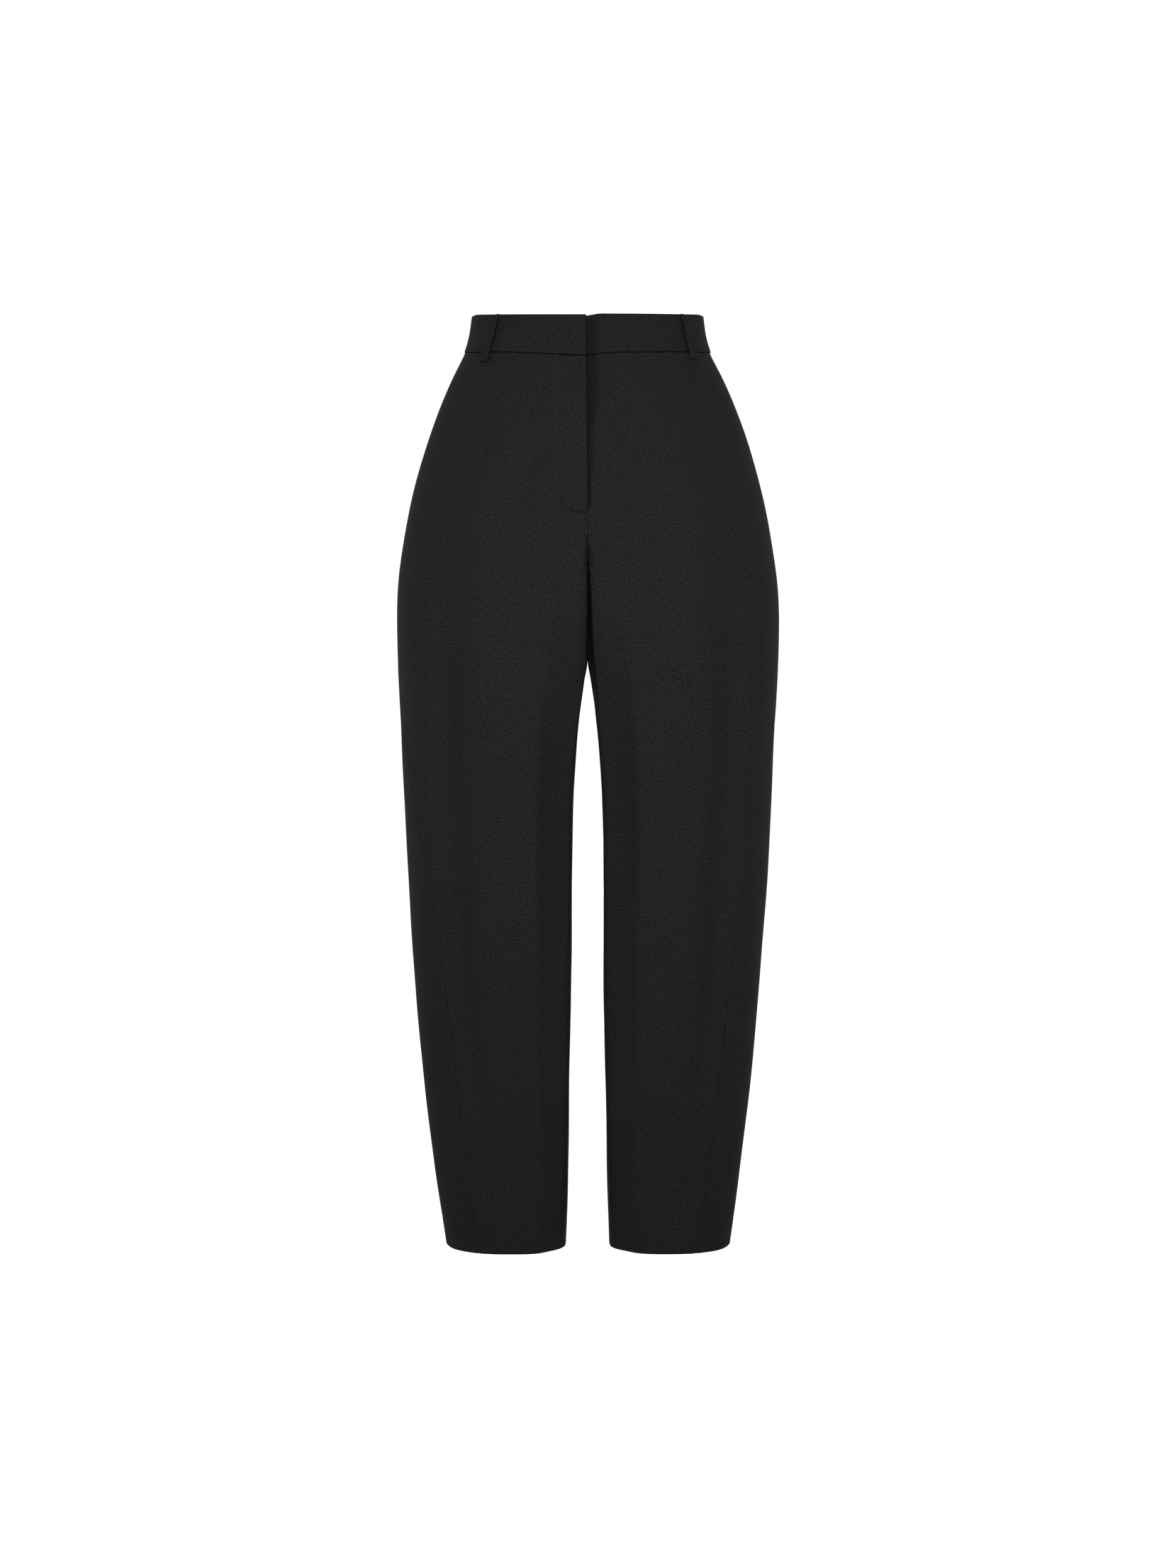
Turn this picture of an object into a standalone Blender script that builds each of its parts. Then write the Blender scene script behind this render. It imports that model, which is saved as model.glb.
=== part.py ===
"""High-waisted barrel-leg tailored trousers, standing open as if filled out, made as the pieces that are cut and sewn.

Metres, +Z up. The wearer faces -Y and the wearer's left is +X. The origin is the centre of the waist's top edge.
Every piece of cloth is a sheet on one surface, which goes round each half of the garment, and a wall grown inwards.
"""

import math
from collections import namedtuple

import bmesh
import bpy
import numpy as np

MM = 0.001
SEAM_GAP = 0.3 * MM

# Cloth
PANEL_CLOTH = 1.2 * MM
BAND_CLOTH = 2.4 * MM
LOOP_CLOTH = 1.3 * MM

# Levels, below the waist's top edge at the side
BAND_SEAM = -38 * MM
FLY_END = -226 * MM
CROTCH = -372 * MM
HEM = -1012 * MM

# Half of the garment, level by level, in millimetres. side: reach from the centre plane. axis: where the
# front and back creases run. front, back: depth of the section before and behind the side seam.
Section = namedtuple("Section", "level side axis front back")
SECTIONS = [
    Section(30, 125.0, 38.0, 82.0, 82.0),
    Section(0, 127.0, 40.0, 86.0, 88.0),
    Section(-38, 133.3, 45.0, 94.5, 99.0),
    Section(-62, 144.5, 49.0, 99.0, 106.5),
    Section(-87, 155.8, 53.0, 102.5, 113.5),
    Section(-118, 168.2, 58.5, 105.5, 120.0),
    Section(-149, 178.3, 65.0, 107.5, 124.5),
    Section(-180, 187.2, 72.0, 109.0, 127.5),
    Section(-242, 200.2, 86.0, 112.0, 129.0),
    Section(-304, 207.5, 97.0, 114.0, 127.0),
    Section(-366, 208.2, 103.5, 113.5, 121.5),
    Section(-428, 205.2, 106.8, 109.5, 114.0),
    Section(-521, 200.7, 108.3, 101.5, 103.0),
    Section(-614, 196.0, 106.7, 94.5, 92.5),
    Section(-707, 189.6, 103.8, 87.5, 83.5),
    Section(-800, 181.5, 100.6, 78.5, 79.5),
    Section(-893, 170.9, 96.1, 70.5, 74.0),
    Section(-955, 162.8, 92.6, 66.0, 68.5),
    Section(-1012, 154.6, 89.6, 62.0, 63.0),
]

# Distance of the inseam from the centre plane below the crotch, in millimetres
Inseam = namedtuple("Inseam", "level reach")
INSEAMS = [
    Inseam(-372, 0.15),
    Inseam(-381, 1.3),
    Inseam(-397, 3.9),
    Inseam(-428, 8.5),
    Inseam(-459, 11.6),
    Inseam(-490, 14.0),
    Inseam(-521, 15.9),
    Inseam(-552, 17.0),
    Inseam(-614, 17.5),
    Inseam(-707, 18.1),
    Inseam(-831, 20.2),
    Inseam(-955, 22.5),
    Inseam(-1012, 24.6),
]

# Where the side seam runs, in degrees round the leg from its front crease: it swings forward below the hip
SideSeam = namedtuple("SideSeam", "level angle")
SIDE_SEAMS = [
    SideSeam(30, 93.0),
    SideSeam(-180, 93.0),
    SideSeam(-330, 92.0),
    SideSeam(-405, 86.0),
    SideSeam(-456, 75.0),
    SideSeam(-508, 63.0),
    SideSeam(-580, 52.0),
    SideSeam(-666, 41.5),
    SideSeam(-753, 37.0),
    SideSeam(-883, 32.5),
    SideSeam(-955, 29.8),
    SideSeam(-1012, 26.5),
]

# The crotch curve in the centre plane: how far above the crotch point each side of it ends
FRONT_RISE = 150 * MM
BACK_RISE = 215 * MM

# How square the inner corner of the section is: 2 is an ellipse, more is squarer
BACK_CORNER = 2.5
Corner = namedtuple("Corner", "level power")
FRONT_CORNERS = [
    Corner(30, 3.0),
    Corner(-180, 3.2),
    Corner(-290, 5.0),
    Corner(-372, 8.0),
    Corner(-440, 6.0),
    Corner(-540, 4.2),
    Corner(-700, 3.3),
    Corner(-1012, 3.0),
]

# Slope of the waist's edges towards the front and the back, and how far down the slope of the seam fades out
TOP_SLOPE_FRONT = 0.197
TOP_SLOPE_BACK = 0.09
SEAM_SLOPE_FRONT = 0.248
SEAM_SLOPE_BACK = 0.05
SLOPE_SOFTNESS = 25 * MM
SLOPE_FADE = 200 * MM

# The waist's top edge dips a little at the sides
SIDE_SCOOP = 4 * MM
SCOOP_START = 116 * MM
SCOOP_WIDTH = 11 * MM

# The seam under the waistband arches over each front and dips towards the fly, over a wider stretch on the right
SEAM_ARCH = 1.7 * MM
RIGHT_DIP = 3.1 * MM
RIGHT_DIP_WIDTH = 75 * MM
LEFT_DIP = 1.8 * MM
LEFT_DIP_WIDTH = 38 * MM

# Waistband
BAND_PROUD = 1.0 * MM
BAND_LIFT = 0.6 * MM

# Fly: the right front laps over the left front, which goes on under it as far as the fly does
LAP_AT_WAIST = 1.7 * MM
UNDERLAP = 26 * MM
UNDERLAP_END = FLY_END + 36 * MM
UNDERLAP_CORNER = 110 * MM
BAND_UNDERLAP = 30 * MM
TUCK_WIDTH = 13 * MM
TUCK_AT_WAIST = 3.0 * MM
TUCK_AT_FLY_END = 1.9 * MM
BAND_TUCK = BAND_CLOTH + SEAM_GAP + 0.1 * MM
LEFT_RISE = 2.4 * MM
LEFT_RISE_FADE = 110 * MM
SEAM_RISE_SHARE = 0.4
UNDERLAP_DIP = 5 * MM

# Belt loops: straps sewn in at the waist's top edge, folded under and tacked below the waistband
LOOP_WIDTH = 10 * MM
LOOP_BELOW_SEAM = 8 * MM
Standoff = namedtuple("Standoff", "share height")
STANDOFFS = [
    Standoff(0.0, 1.4),
    Standoff(0.1, 3.0),
    Standoff(0.25, 4.4),
    Standoff(0.5, 4.8),
    Standoff(0.72, 4.6),
    Standoff(0.87, 3.4),
    Standoff(1.0, 0.45),
]
Loop = namedtuple("Loop", "name side top_turn seam_turn")
LOOPS = [
    Loop("belt_loop_front_right", -1, 1.45, 1.43),
    Loop("belt_loop_front_left", 1, 1.45, 1.43),
    Loop("belt_loop_back_right", -1, 2.62, 2.60),
    Loop("belt_loop_back_left", 1, 2.62, 2.60),
    Loop("belt_loop_centre_back", 1, 4.0, 4.0),
]

# Soft folds that run down each front: where a fold starts and ends, the turn it lies at there, its width in turns
# and its depth in millimetres
Fold = namedtuple("Fold", "start end start_turn end_turn width depth")
FOLDS = [
    Fold(-290, -830, 1.30, 1.33, 0.16, 9.0),
    Fold(-250, -830, 0.46, 0.33, 0.14, 5.0),
    Fold(-790, -975, 1.15, 1.11, 0.08, 3.5),
]

# How finely the sheets are divided
ROWS_ABOVE_CROTCH = 18
ROWS_BELOW_CROTCH = 22
CROWDING = 1.5
FRONT_COLUMNS = (8, 9)
BACK_COLUMNS = (9, 7)
BAND_COLUMNS = 34
BAND_ROWS = 4
LOOP_ROWS = 12
TURN_STEP = 0.004

Finish = namedtuple("Finish", "name colour roughness")
SUITING = Finish("black_suiting", (0.017, 0.016, 0.0165), 0.85)
BAND_SUITING = Finish("waistband_suiting", (0.018, 0.017, 0.0175), 0.82)


def spline(rows, column, scale):
    """A smooth curve through one column of a table, as a function of the level."""
    ordered = sorted(rows, key=lambda row: row.level)
    knots = np.array([row.level for row in ordered]) * MM
    values = np.array([getattr(row, column) for row in ordered]) * scale
    steps = np.diff(knots)
    slopes = np.diff(values) / steps
    system = np.eye(len(knots))
    load = np.zeros(len(knots))
    for i in range(1, len(knots) - 1):
        system[i, i - 1 : i + 2] = steps[i - 1], 2 * (steps[i - 1] + steps[i]), steps[i]
        load[i] = 6 * (slopes[i] - slopes[i - 1])
    bends = np.linalg.solve(system, load)

    def read(level):
        i = np.clip(np.searchsorted(knots, level) - 1, 0, len(steps) - 1)
        above = (level - knots[i]) / steps[i]
        below = 1 - above
        curved = (below**3 - below) * bends[i] + (above**3 - above) * bends[i + 1]
        return below * values[i] + above * values[i + 1] + curved * steps[i] ** 2 / 6

    return read


side_at = spline(SECTIONS, "side", MM)
axis_at = spline(SECTIONS, "axis", MM)
front_at = spline(SECTIONS, "front", MM)
back_at = spline(SECTIONS, "back", MM)
inseam_at = spline(INSEAMS, "reach", MM)
seam_angle_at = spline(SIDE_SEAMS, "angle", math.radians(1))
front_corner_at = spline(FRONT_CORNERS, "power", 1)


def ease(share):
    """A smooth step from 0 to 1."""
    held = np.clip(share, 0, 1)
    return held * held * (3 - 2 * held)


def pinch(level, rise, power):
    """How nearly the half section closes on the centre plane: 0 where it is flat there, 1 from the crotch down."""
    climb = np.clip((level - CROTCH) / rise, 0, 1)
    reach = np.sqrt(1 - (1 - climb) ** 2)
    return (1 - reach**power) ** (1 / power)


def fold_depth(turn, level):
    """How far the folds sink the surface."""
    sunk = np.zeros_like(level)
    for fold in FOLDS:
        along = (level / MM - fold.start) / (fold.end - fold.start)
        centre = fold.start_turn + along * (fold.end_turn - fold.start_turn)
        window = ease(along * 4) * ease((1 - along) * 4)
        sunk = sunk + fold.depth * MM * window * np.exp(-(((turn - centre) / fold.width) ** 2))
    return sunk


def around(turn, level, edge):
    """(x, y) of the garment's outer surface on the wearer's left half.

    turn is 0 at the centre front or the inseam, 1 at the front crease, 2 at the side, 3 at the back crease and 4 at
    the centre back or the inseam again. edge is the x of turns 0 and 4 above the crotch.
    """
    axis, side = axis_at(level), side_at(level)
    ahead = turn < 2
    depth = np.where(ahead, front_at(level), back_at(level))
    angle = (np.clip(turn, 1, 3) - 1) * math.pi / 2
    x = axis + (side - axis) * np.sin(angle)
    y = -depth * np.cos(angle)

    rim = np.where(level < CROTCH, inseam_at(np.minimum(level, CROTCH)), edge)
    inward = np.cos(np.clip(np.where(ahead, turn, 4 - turn), 0, 1) * math.pi / 2)
    power = np.where(ahead, front_corner_at(level), BACK_CORNER)
    closing = pinch(level, np.where(ahead, FRONT_RISE, BACK_RISE), power)
    swell = (1 - np.clip(closing * inward, 0, 1) ** power) ** (1 / power)
    half_gap = SEAM_GAP / 2
    depth_inside = half_gap + (depth - half_gap) * swell
    inside = (turn < 1) | (turn > 3)
    x = np.where(inside, axis - (axis - rim) * inward, x)
    y = np.where(inside, np.where(ahead, -depth_inside, depth_inside), y)
    folded = fold_depth(turn, level) * ease(-y / (30 * MM))
    return x, y + folded


def slope(y, forward, backward):
    """Rise of an edge that slopes by forward before the side and by backward behind it, with a soft bend between."""
    bend = np.sqrt(y * y + SLOPE_SOFTNESS**2) - SLOPE_SOFTNESS
    return (forward + backward) / 2 * y + (backward - forward) / 2 * bend


def left_rise(x):
    """The left half sits a little higher beside the fly."""
    return LEFT_RISE * ease(1 - x / LEFT_RISE_FADE)


def seam_level(x, y, raised):
    """Level of the seam between the waistband and the panels."""
    rise = slope(y, SEAM_SLOPE_FRONT, SEAM_SLOPE_BACK)
    right_dip = RIGHT_DIP * ease(1 - x / RIGHT_DIP_WIDTH)
    left_dip = LEFT_DIP * ease(1 - x / LEFT_DIP_WIDTH)
    arch = ease(-y / (60 * MM)) * (SEAM_ARCH - right_dip - raised * (left_dip - right_dip))
    return BAND_SEAM + rise + arch + raised * SEAM_RISE_SHARE * left_rise(x)


def top_level(x, y, raised):
    """Level of the waist's top edge."""
    dip = UNDERLAP_DIP * ease(-(x + 4 * MM) / BAND_UNDERLAP)
    rise = slope(y, TOP_SLOPE_FRONT, TOP_SLOPE_BACK) - SIDE_SCOOP * ease((x - SCOOP_START) / SCOOP_WIDTH)
    return rise + raised * (np.where(y < 0, left_rise(x), 0) - dip)


def panel_surface(turn, level, edge_at, raised):
    """Points of a panel's outer surface. Its levels follow the sloping waist seam at the top and are flat lower down."""
    x, y = around(turn, level, edge_at(level))
    fade = ease(1 - (BAND_SEAM - level) / SLOPE_FADE)
    z = level + (seam_level(x, y, raised * (y < 0)) - BAND_SEAM) * fade
    x, y = around(turn, z, edge_at(z))
    return np.stack([x, y, z], axis=-1)


def facings(points):
    """Unit normals of a grid of points, pointing out of the garment's left half."""
    down = np.gradient(points, axis=0)
    along = np.gradient(points, axis=1)
    normal = np.cross(down, along)
    return normal / np.linalg.norm(normal, axis=-1, keepdims=True)


def mirrored(points, side):
    """The points on the left half (side 1) or the right half (side -1)."""
    return points * np.array([side, 1, 1])


def shared_material(finish):
    """The Principled material of a finish, made once."""
    material = bpy.data.materials.get(finish.name)
    if material is None:
        material = bpy.data.materials.new(finish.name)
        material.use_nodes = True
        shader = material.node_tree.nodes["Principled BSDF"]
        shader.inputs["Base Color"].default_value = (*finish.colour, 1)
        shader.inputs["Roughness"].default_value = finish.roughness
        shader.inputs["Metallic"].default_value = 0
    return material


def lining_side(points, thickness):
    """The grid of points on the inner face of a wall that is grown inwards from the outer face's points."""
    return points - facings(points) * thickness


def cloth(name, outer, inner, side, finish):
    """A closed sheet of cloth between the points of its outer face and of its inner face."""
    rows, columns = outer.shape[:2]
    sheet = bmesh.new()
    faces = []
    for points in (mirrored(outer, side), mirrored(inner, side)):
        faces.append([[sheet.verts.new(points[i, j]) for j in range(columns)] for i in range(rows)])
    out, back = faces
    rings = []
    for i in range(rows - 1):
        for j in range(columns - 1):
            rings.append([out[i][j], out[i + 1][j], out[i + 1][j + 1], out[i][j + 1]])
            rings.append([back[i][j], back[i][j + 1], back[i + 1][j + 1], back[i + 1][j]])
        rings.append([out[i][0], back[i][0], back[i + 1][0], out[i + 1][0]])
        rings.append([out[i][-1], out[i + 1][-1], back[i + 1][-1], back[i][-1]])
    for j in range(columns - 1):
        rings.append([out[0][j], out[0][j + 1], back[0][j + 1], back[0][j]])
        rings.append([out[-1][j], back[-1][j], back[-1][j + 1], out[-1][j + 1]])
    for ring in rings:
        sheet.faces.new(ring if side > 0 else ring[::-1])
    mesh = bpy.data.meshes.new(name)
    sheet.to_mesh(mesh)
    sheet.free()
    mesh.shade_smooth()
    mesh.materials.append(shared_material(finish))
    made = bpy.data.objects.new(name, mesh)
    bpy.context.scene.collection.objects.link(made)
    return made


def panel_faces(surface, turn, level):
    """Points of a panel's outer and inner faces, from its surface as a function of turn and level.

    The wall is grown along the surface's own normals, so that the walls of two panels meet in a seam.
    """
    along = surface(np.minimum(turn + TURN_STEP, 4), level) - surface(np.maximum(turn - TURN_STEP, 0), level)
    up = surface(turn, level + MM) - surface(turn, level - MM)
    normal = np.cross(along, up)
    normal /= np.linalg.norm(normal, axis=-1, keepdims=True)
    outer = surface(turn, level)
    inner = outer - normal * PANEL_CLOTH
    half_gap = SEAM_GAP / 2
    inner[..., 1] = np.where(turn < 1, np.minimum(inner[..., 1], -half_gap), inner[..., 1])
    inner[..., 1] = np.where(turn > 3, np.maximum(inner[..., 1], half_gap), inner[..., 1])
    return outer, inner


def panel_levels():
    """Levels of a panel's rows, crowded towards the crotch."""
    above = np.linspace(1, 0, ROWS_ABOVE_CROTCH + 1) ** CROWDING
    below = np.linspace(0, 1, ROWS_BELOW_CROTCH + 1)[1:] ** CROWDING
    return np.concatenate([CROTCH + (BAND_SEAM - CROTCH) * above, CROTCH + (HEM - CROTCH) * below])


def lap_edge(level):
    """The right front's edge at the centre, which laps over the left front beside the fly."""
    lap = LAP_AT_WAIST * ease((level - FLY_END) / (BAND_SEAM - FLY_END))
    return np.maximum(lap, SEAM_GAP / 2)


def underlap_edge(level):
    """The left front's edge at the centre, which passes under the right front as far as the fly goes."""
    under = ease((level - UNDERLAP_END) / UNDERLAP_CORNER)
    return SEAM_GAP / 2 - (UNDERLAP + SEAM_GAP / 2) * under


def centre_edge(level):
    """An edge that stays at the centre seam."""
    return np.full_like(level, SEAM_GAP / 2)


def tuck_depth(level):
    """How deep the left front lies under the right front, from the waist to the end of the fly."""
    deep = ease((level - FLY_END) / (BAND_SEAM - FLY_END))
    return TUCK_AT_FLY_END + (TUCK_AT_WAIST - TUCK_AT_FLY_END) * deep


def tucked(points):
    """The left front's points, with its edge sunk under the right front."""
    x, z = points[..., 0], points[..., 2]
    beside = ease((TUCK_WIDTH - x) / TUCK_WIDTH)
    along = ease((z - FLY_END) / (UNDERLAP_END - FLY_END))
    sunk = points.copy()
    sunk[..., 1] += tuck_depth(z) * beside * along
    return sunk


def front_panel(name, side, edge_at):
    """A trouser front, from the centre front and inseam round to the side seam, and from the waistband to the hem."""
    inner, outer = FRONT_COLUMNS
    share = np.concatenate([np.linspace(0, 1, inner + 1), np.linspace(1, 2, outer + 1)[1:]])
    level = np.repeat(panel_levels()[:, None], len(share), axis=1)
    leg_radius = np.hypot(side_at(level) - axis_at(level), front_at(level)) / math.sqrt(2)
    last_turn = 1 + (seam_angle_at(level) - SEAM_GAP / 2 / leg_radius) / (math.pi / 2)
    turn = np.where(share <= 1, share, 1 + (share - 1) * (last_turn - 1))

    def surface(at_turn, at_level):
        points = panel_surface(at_turn, at_level, edge_at, side > 0)
        return tucked(points) if side > 0 else points

    return cloth(name, *panel_faces(surface, turn, level), side, SUITING)


def back_panel(name, side):
    """A trouser back, from the side seam round to the centre back and inseam, and from the waistband to the hem."""
    outer, inner = BACK_COLUMNS
    share = np.concatenate([np.linspace(0, 1, outer + 1), np.linspace(1, 2, inner + 1)[1:]])
    level = np.repeat(panel_levels()[:, None], len(share), axis=1)
    leg_radius = np.hypot(side_at(level) - axis_at(level), front_at(level)) / math.sqrt(2)
    first_turn = 1 + (seam_angle_at(level) + SEAM_GAP / 2 / leg_radius) / (math.pi / 2)
    turn = np.where(share <= 1, first_turn + share * (3 - first_turn), 2 + share)

    def surface(at_turn, at_level):
        return panel_surface(at_turn, at_level, centre_edge, False)

    return cloth(name, *panel_faces(surface, turn, level), side, SUITING)


def band_points(turn, share, edge, raised):
    """Points of the waistband's outer face at a share of its height, before it is moved proud of the panels."""
    middle = np.full_like(turn, BAND_SEAM / 2)
    x, y = around(turn, middle, edge)
    bottom = seam_level(x, y, raised * (y < 0)) + BAND_LIFT
    z = bottom + share * (top_level(x, y, raised) - bottom)
    x, y = around(turn, z, edge)
    return np.stack([x, y, z], axis=-1)


def waistband(name, side, edge):
    """Half of the waistband, from the fly round to the centre back. The left half passes under the right half."""
    underlap = np.linspace(0, 0.45, 9)
    turns = np.concatenate([underlap, np.linspace(underlap[-1], 4, BAND_COLUMNS - 7)[1:]])
    turn, share = np.meshgrid(turns, np.linspace(1, 0, BAND_ROWS + 1))
    edges = np.where(turn < 2, edge, SEAM_GAP / 2)
    points = band_points(turn, share, edges, side > 0)
    points = points + facings(points) * BAND_PROUD
    if side > 0:
        points[..., 1] += BAND_TUCK * ease((TUCK_WIDTH - points[..., 0]) / TUCK_WIDTH) * (points[..., 1] < 0)
    return cloth(name, points, lining_side(points, BAND_CLOTH), side, BAND_SUITING)


def belt_loop(loop):
    """A strap that stands off the waistband, from the waist's top edge to below the waistband seam."""
    raised = loop.side > 0 and loop.top_turn < 2
    share = np.linspace(0, 1, LOOP_ROWS + 1)
    turns = loop.top_turn + share * (loop.seam_turn - loop.top_turn)
    edges = np.where(turns < 2, SEAM_GAP / 2, 0)
    x, y = around(turns, np.full_like(turns, BAND_SEAM / 2), edges)
    top = top_level(x, y, raised) - SEAM_GAP
    foot = seam_level(x, y, raised) - LOOP_BELOW_SEAM
    z = top + share * (foot - top)
    centre = np.stack([*around(turns, z, edges), z], axis=-1)
    beside = np.stack([*around(turns - 0.01, z, edges), z], axis=-1)
    across = centre - beside
    across /= np.linalg.norm(across, axis=-1, keepdims=True)
    down = np.gradient(centre, axis=0)
    facing = np.cross(down, across)
    facing /= np.linalg.norm(facing, axis=-1, keepdims=True)
    heights = np.interp(share, [s.share for s in STANDOFFS], [s.height for s in STANDOFFS]) * MM
    middle = centre + facing * (heights + LOOP_CLOTH)[:, None]
    strips = np.stack([middle + across * LOOP_WIDTH * part for part in (-0.5, 0, 0.5)], axis=1)
    return cloth(loop.name, strips, lining_side(strips, LOOP_CLOTH), loop.side, BAND_SUITING)


def main():
    """Clears the scene and makes every piece of the trousers."""
    for old in list(bpy.data.objects):
        bpy.data.objects.remove(old)
    front_panel("front_right", -1, lap_edge)
    front_panel("front_left", 1, underlap_edge)
    back_panel("back_right", -1)
    back_panel("back_left", 1)
    waistband("waistband_right", -1, LAP_AT_WAIST)
    waistband("waistband_left", 1, -BAND_UNDERLAP)
    for loop in LOOPS:
        belt_loop(loop)


main()
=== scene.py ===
"""High-waisted barrel-leg tailored trousers in black wool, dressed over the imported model.

Metres, +Z up. The wearer faces -Y and the wearer's left is +X. The origin is the centre of the waist's top
edge.
Every piece of cloth is a fine grid that is shaped by one surface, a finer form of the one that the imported
model was made from, with the relief of seams, folds, stitching and wrinkles added along its normals.
"""

import logging
import math
from dataclasses import dataclass, field
from enum import Enum
from typing import Callable, NamedTuple

import bpy
import numpy as np
from mathutils import Matrix, Vector


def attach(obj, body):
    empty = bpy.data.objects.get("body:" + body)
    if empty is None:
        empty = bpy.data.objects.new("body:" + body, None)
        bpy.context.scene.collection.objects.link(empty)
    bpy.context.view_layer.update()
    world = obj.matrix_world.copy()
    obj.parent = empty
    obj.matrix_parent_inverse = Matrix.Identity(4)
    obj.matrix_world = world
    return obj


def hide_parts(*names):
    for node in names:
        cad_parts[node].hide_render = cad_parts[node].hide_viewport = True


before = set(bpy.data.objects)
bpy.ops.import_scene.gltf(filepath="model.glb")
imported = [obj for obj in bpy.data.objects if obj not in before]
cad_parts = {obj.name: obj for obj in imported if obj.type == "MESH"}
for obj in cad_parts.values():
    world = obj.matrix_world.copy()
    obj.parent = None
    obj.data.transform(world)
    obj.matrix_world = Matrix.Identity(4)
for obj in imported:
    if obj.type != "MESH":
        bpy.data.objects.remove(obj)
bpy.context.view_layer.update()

MM = 0.001
BAND_SEAM = -38 * MM
FLY_END = -226 * MM
CROTCH = -372 * MM
HEM = -1012 * MM

# Pieces that meet at a seam are pressed into each other by this much, so that no light passes between them.
SEAM_OVERLAP = 0.08 * MM
SEAM_EDGE = -SEAM_OVERLAP / 2

log = logging.getLogger("trousers")

Array = np.ndarray
Link = "Signal | float"
Settings = dict[str, object]
Inputs = dict[str | int, object]


class Half(Enum):
    """The wearer's side that a piece lies on, with the sign of x there."""

    RIGHT = -1
    LEFT = 1


class Part(Enum):
    """A trouser panel's place on its leg."""

    FRONT = "front"
    BACK = "back"


def ease(share: Array) -> Array:
    """A smooth step from 0 to 1."""
    held = np.clip(share, 0, 1)
    return held * held * (3 - 2 * held)


def bump(distance: Array, width: float) -> Array:
    """A smooth bell of height 1 over a distance of 0."""
    return np.exp(-((distance / width) ** 2))


def ramp(level: Array, start: float, end: float) -> Array:
    """A smooth step from 0 to 1 between two levels in millimetres, downwards where the end is the lower one."""
    return ease((level / MM - start) / (end - start))


def recess(x: Array, reach: Array | float, overrun: float = 2 * MM, sharp: float = 0.25) -> Array:
    """How far the left side falls back beside the fly.

    Args:
        x: distances from the centre, in metres.
        reach: where the fall begins, in metres.
        overrun: how far past the centre it ends, in metres.
        sharp: the share of it that steepens towards its end.

    Returns:
        0 at the reach, 1 where the fall ends.
    """
    share = np.clip((reach - x) / (reach + overrun), 0, 1)
    return (1 - sharp) * ease(share) + sharp * share**1.5


def unit(vectors: Array) -> Array:
    """The vectors at length 1."""
    return vectors / np.linalg.norm(vectors, axis=-1, keepdims=True)


def deselect() -> None:
    """Leaves nothing selected, because operators act on all that is."""
    for each in bpy.context.selected_objects:
        each.select_set(False)


def only(piece: bpy.types.Object) -> None:
    """Makes a piece the one that is selected and active.

    Args:
        piece: the object.
    """
    deselect()
    piece.select_set(True)
    bpy.context.view_layer.objects.active = piece


def apply_modifier(piece: bpy.types.Object, kind: str, **settings: object) -> None:
    """Adds a modifier to a piece and applies it.

    Args:
        piece: the object to change.
        kind: the modifier's type, such as SOLIDIFY.
        **settings: the modifier's properties.
    """
    only(piece)
    added = piece.modifiers.new(kind.lower(), kind)
    for name, value in settings.items():
        setattr(added, name, value)
    bpy.ops.object.modifier_apply(modifier=added.name)


@dataclass(frozen=True)
class Curve:
    """A smooth curve through knots, which is read by level.

    A knot is a level in millimetres and a value in millimetres, degrees or hundredths, or a plain number.
    """

    knots: tuple[tuple[float, float], ...]
    scale: float = MM

    def __call__(self, level: Array) -> Array:
        """Reads the curve.

        Args:
            level: levels in metres.

        Returns:
            The values there, times the scale.
        """
        table = np.array(sorted(self.knots))
        knots, values = table[:, 0] * MM, table[:, 1] * self.scale
        steps = np.diff(knots)
        slopes = np.diff(values) / steps
        system = np.eye(len(knots))
        load = np.zeros(len(knots))
        for i in range(1, len(knots) - 1):
            system[i, i - 1 : i + 2] = steps[i - 1], 2 * (steps[i - 1] + steps[i]), steps[i]
            load[i] = 6 * (slopes[i] - slopes[i - 1])
        bends = np.linalg.solve(system, load)
        i = np.clip(np.searchsorted(knots, level) - 1, 0, len(steps) - 1)
        above = (level - knots[i]) / steps[i]
        below = 1 - above
        curved = (below**3 - below) * bends[i] + (above**3 - above) * bends[i + 1]
        return below * values[i] + above * values[i + 1] + curved * steps[i] ** 2 / 6


class Section(NamedTuple):
    """The section at one level, in millimetres: places of the side, the leg's axis, the front and the back."""

    level: float
    side: float
    axis: float
    front: float
    back: float


SECTIONS = (
    Section(30, 123.2, 38.0, 82.0, 82.0),
    Section(0, 125.4, 40.0, 86.0, 88.0),
    Section(-38, 132.5, 45.0, 94.5, 99.0),
    Section(-62, 143.7, 49.0, 99.0, 106.5),
    Section(-87, 155.2, 53.0, 102.5, 113.5),
    Section(-118, 167.4, 58.5, 105.5, 120.0),
    Section(-149, 177.8, 65.0, 107.5, 124.5),
    Section(-180, 186.9, 72.0, 109.0, 127.5),
    Section(-242, 200.1, 86.0, 112.0, 129.0),
    Section(-304, 208.0, 97.0, 114.0, 127.0),
    Section(-366, 207.9, 103.5, 113.5, 121.5),
    Section(-428, 204.5, 106.8, 109.5, 114.0),
    Section(-521, 200.6, 108.3, 101.5, 103.0),
    Section(-614, 196.1, 106.7, 94.5, 92.5),
    Section(-707, 190.0, 103.8, 87.5, 83.5),
    Section(-800, 182.0, 100.6, 78.5, 79.5),
    Section(-893, 171.1, 96.1, 70.5, 74.0),
    Section(-955, 162.8, 92.6, 66.0, 68.5),
    Section(-1012, 154.6, 89.6, 62.0, 63.0),
)

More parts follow.
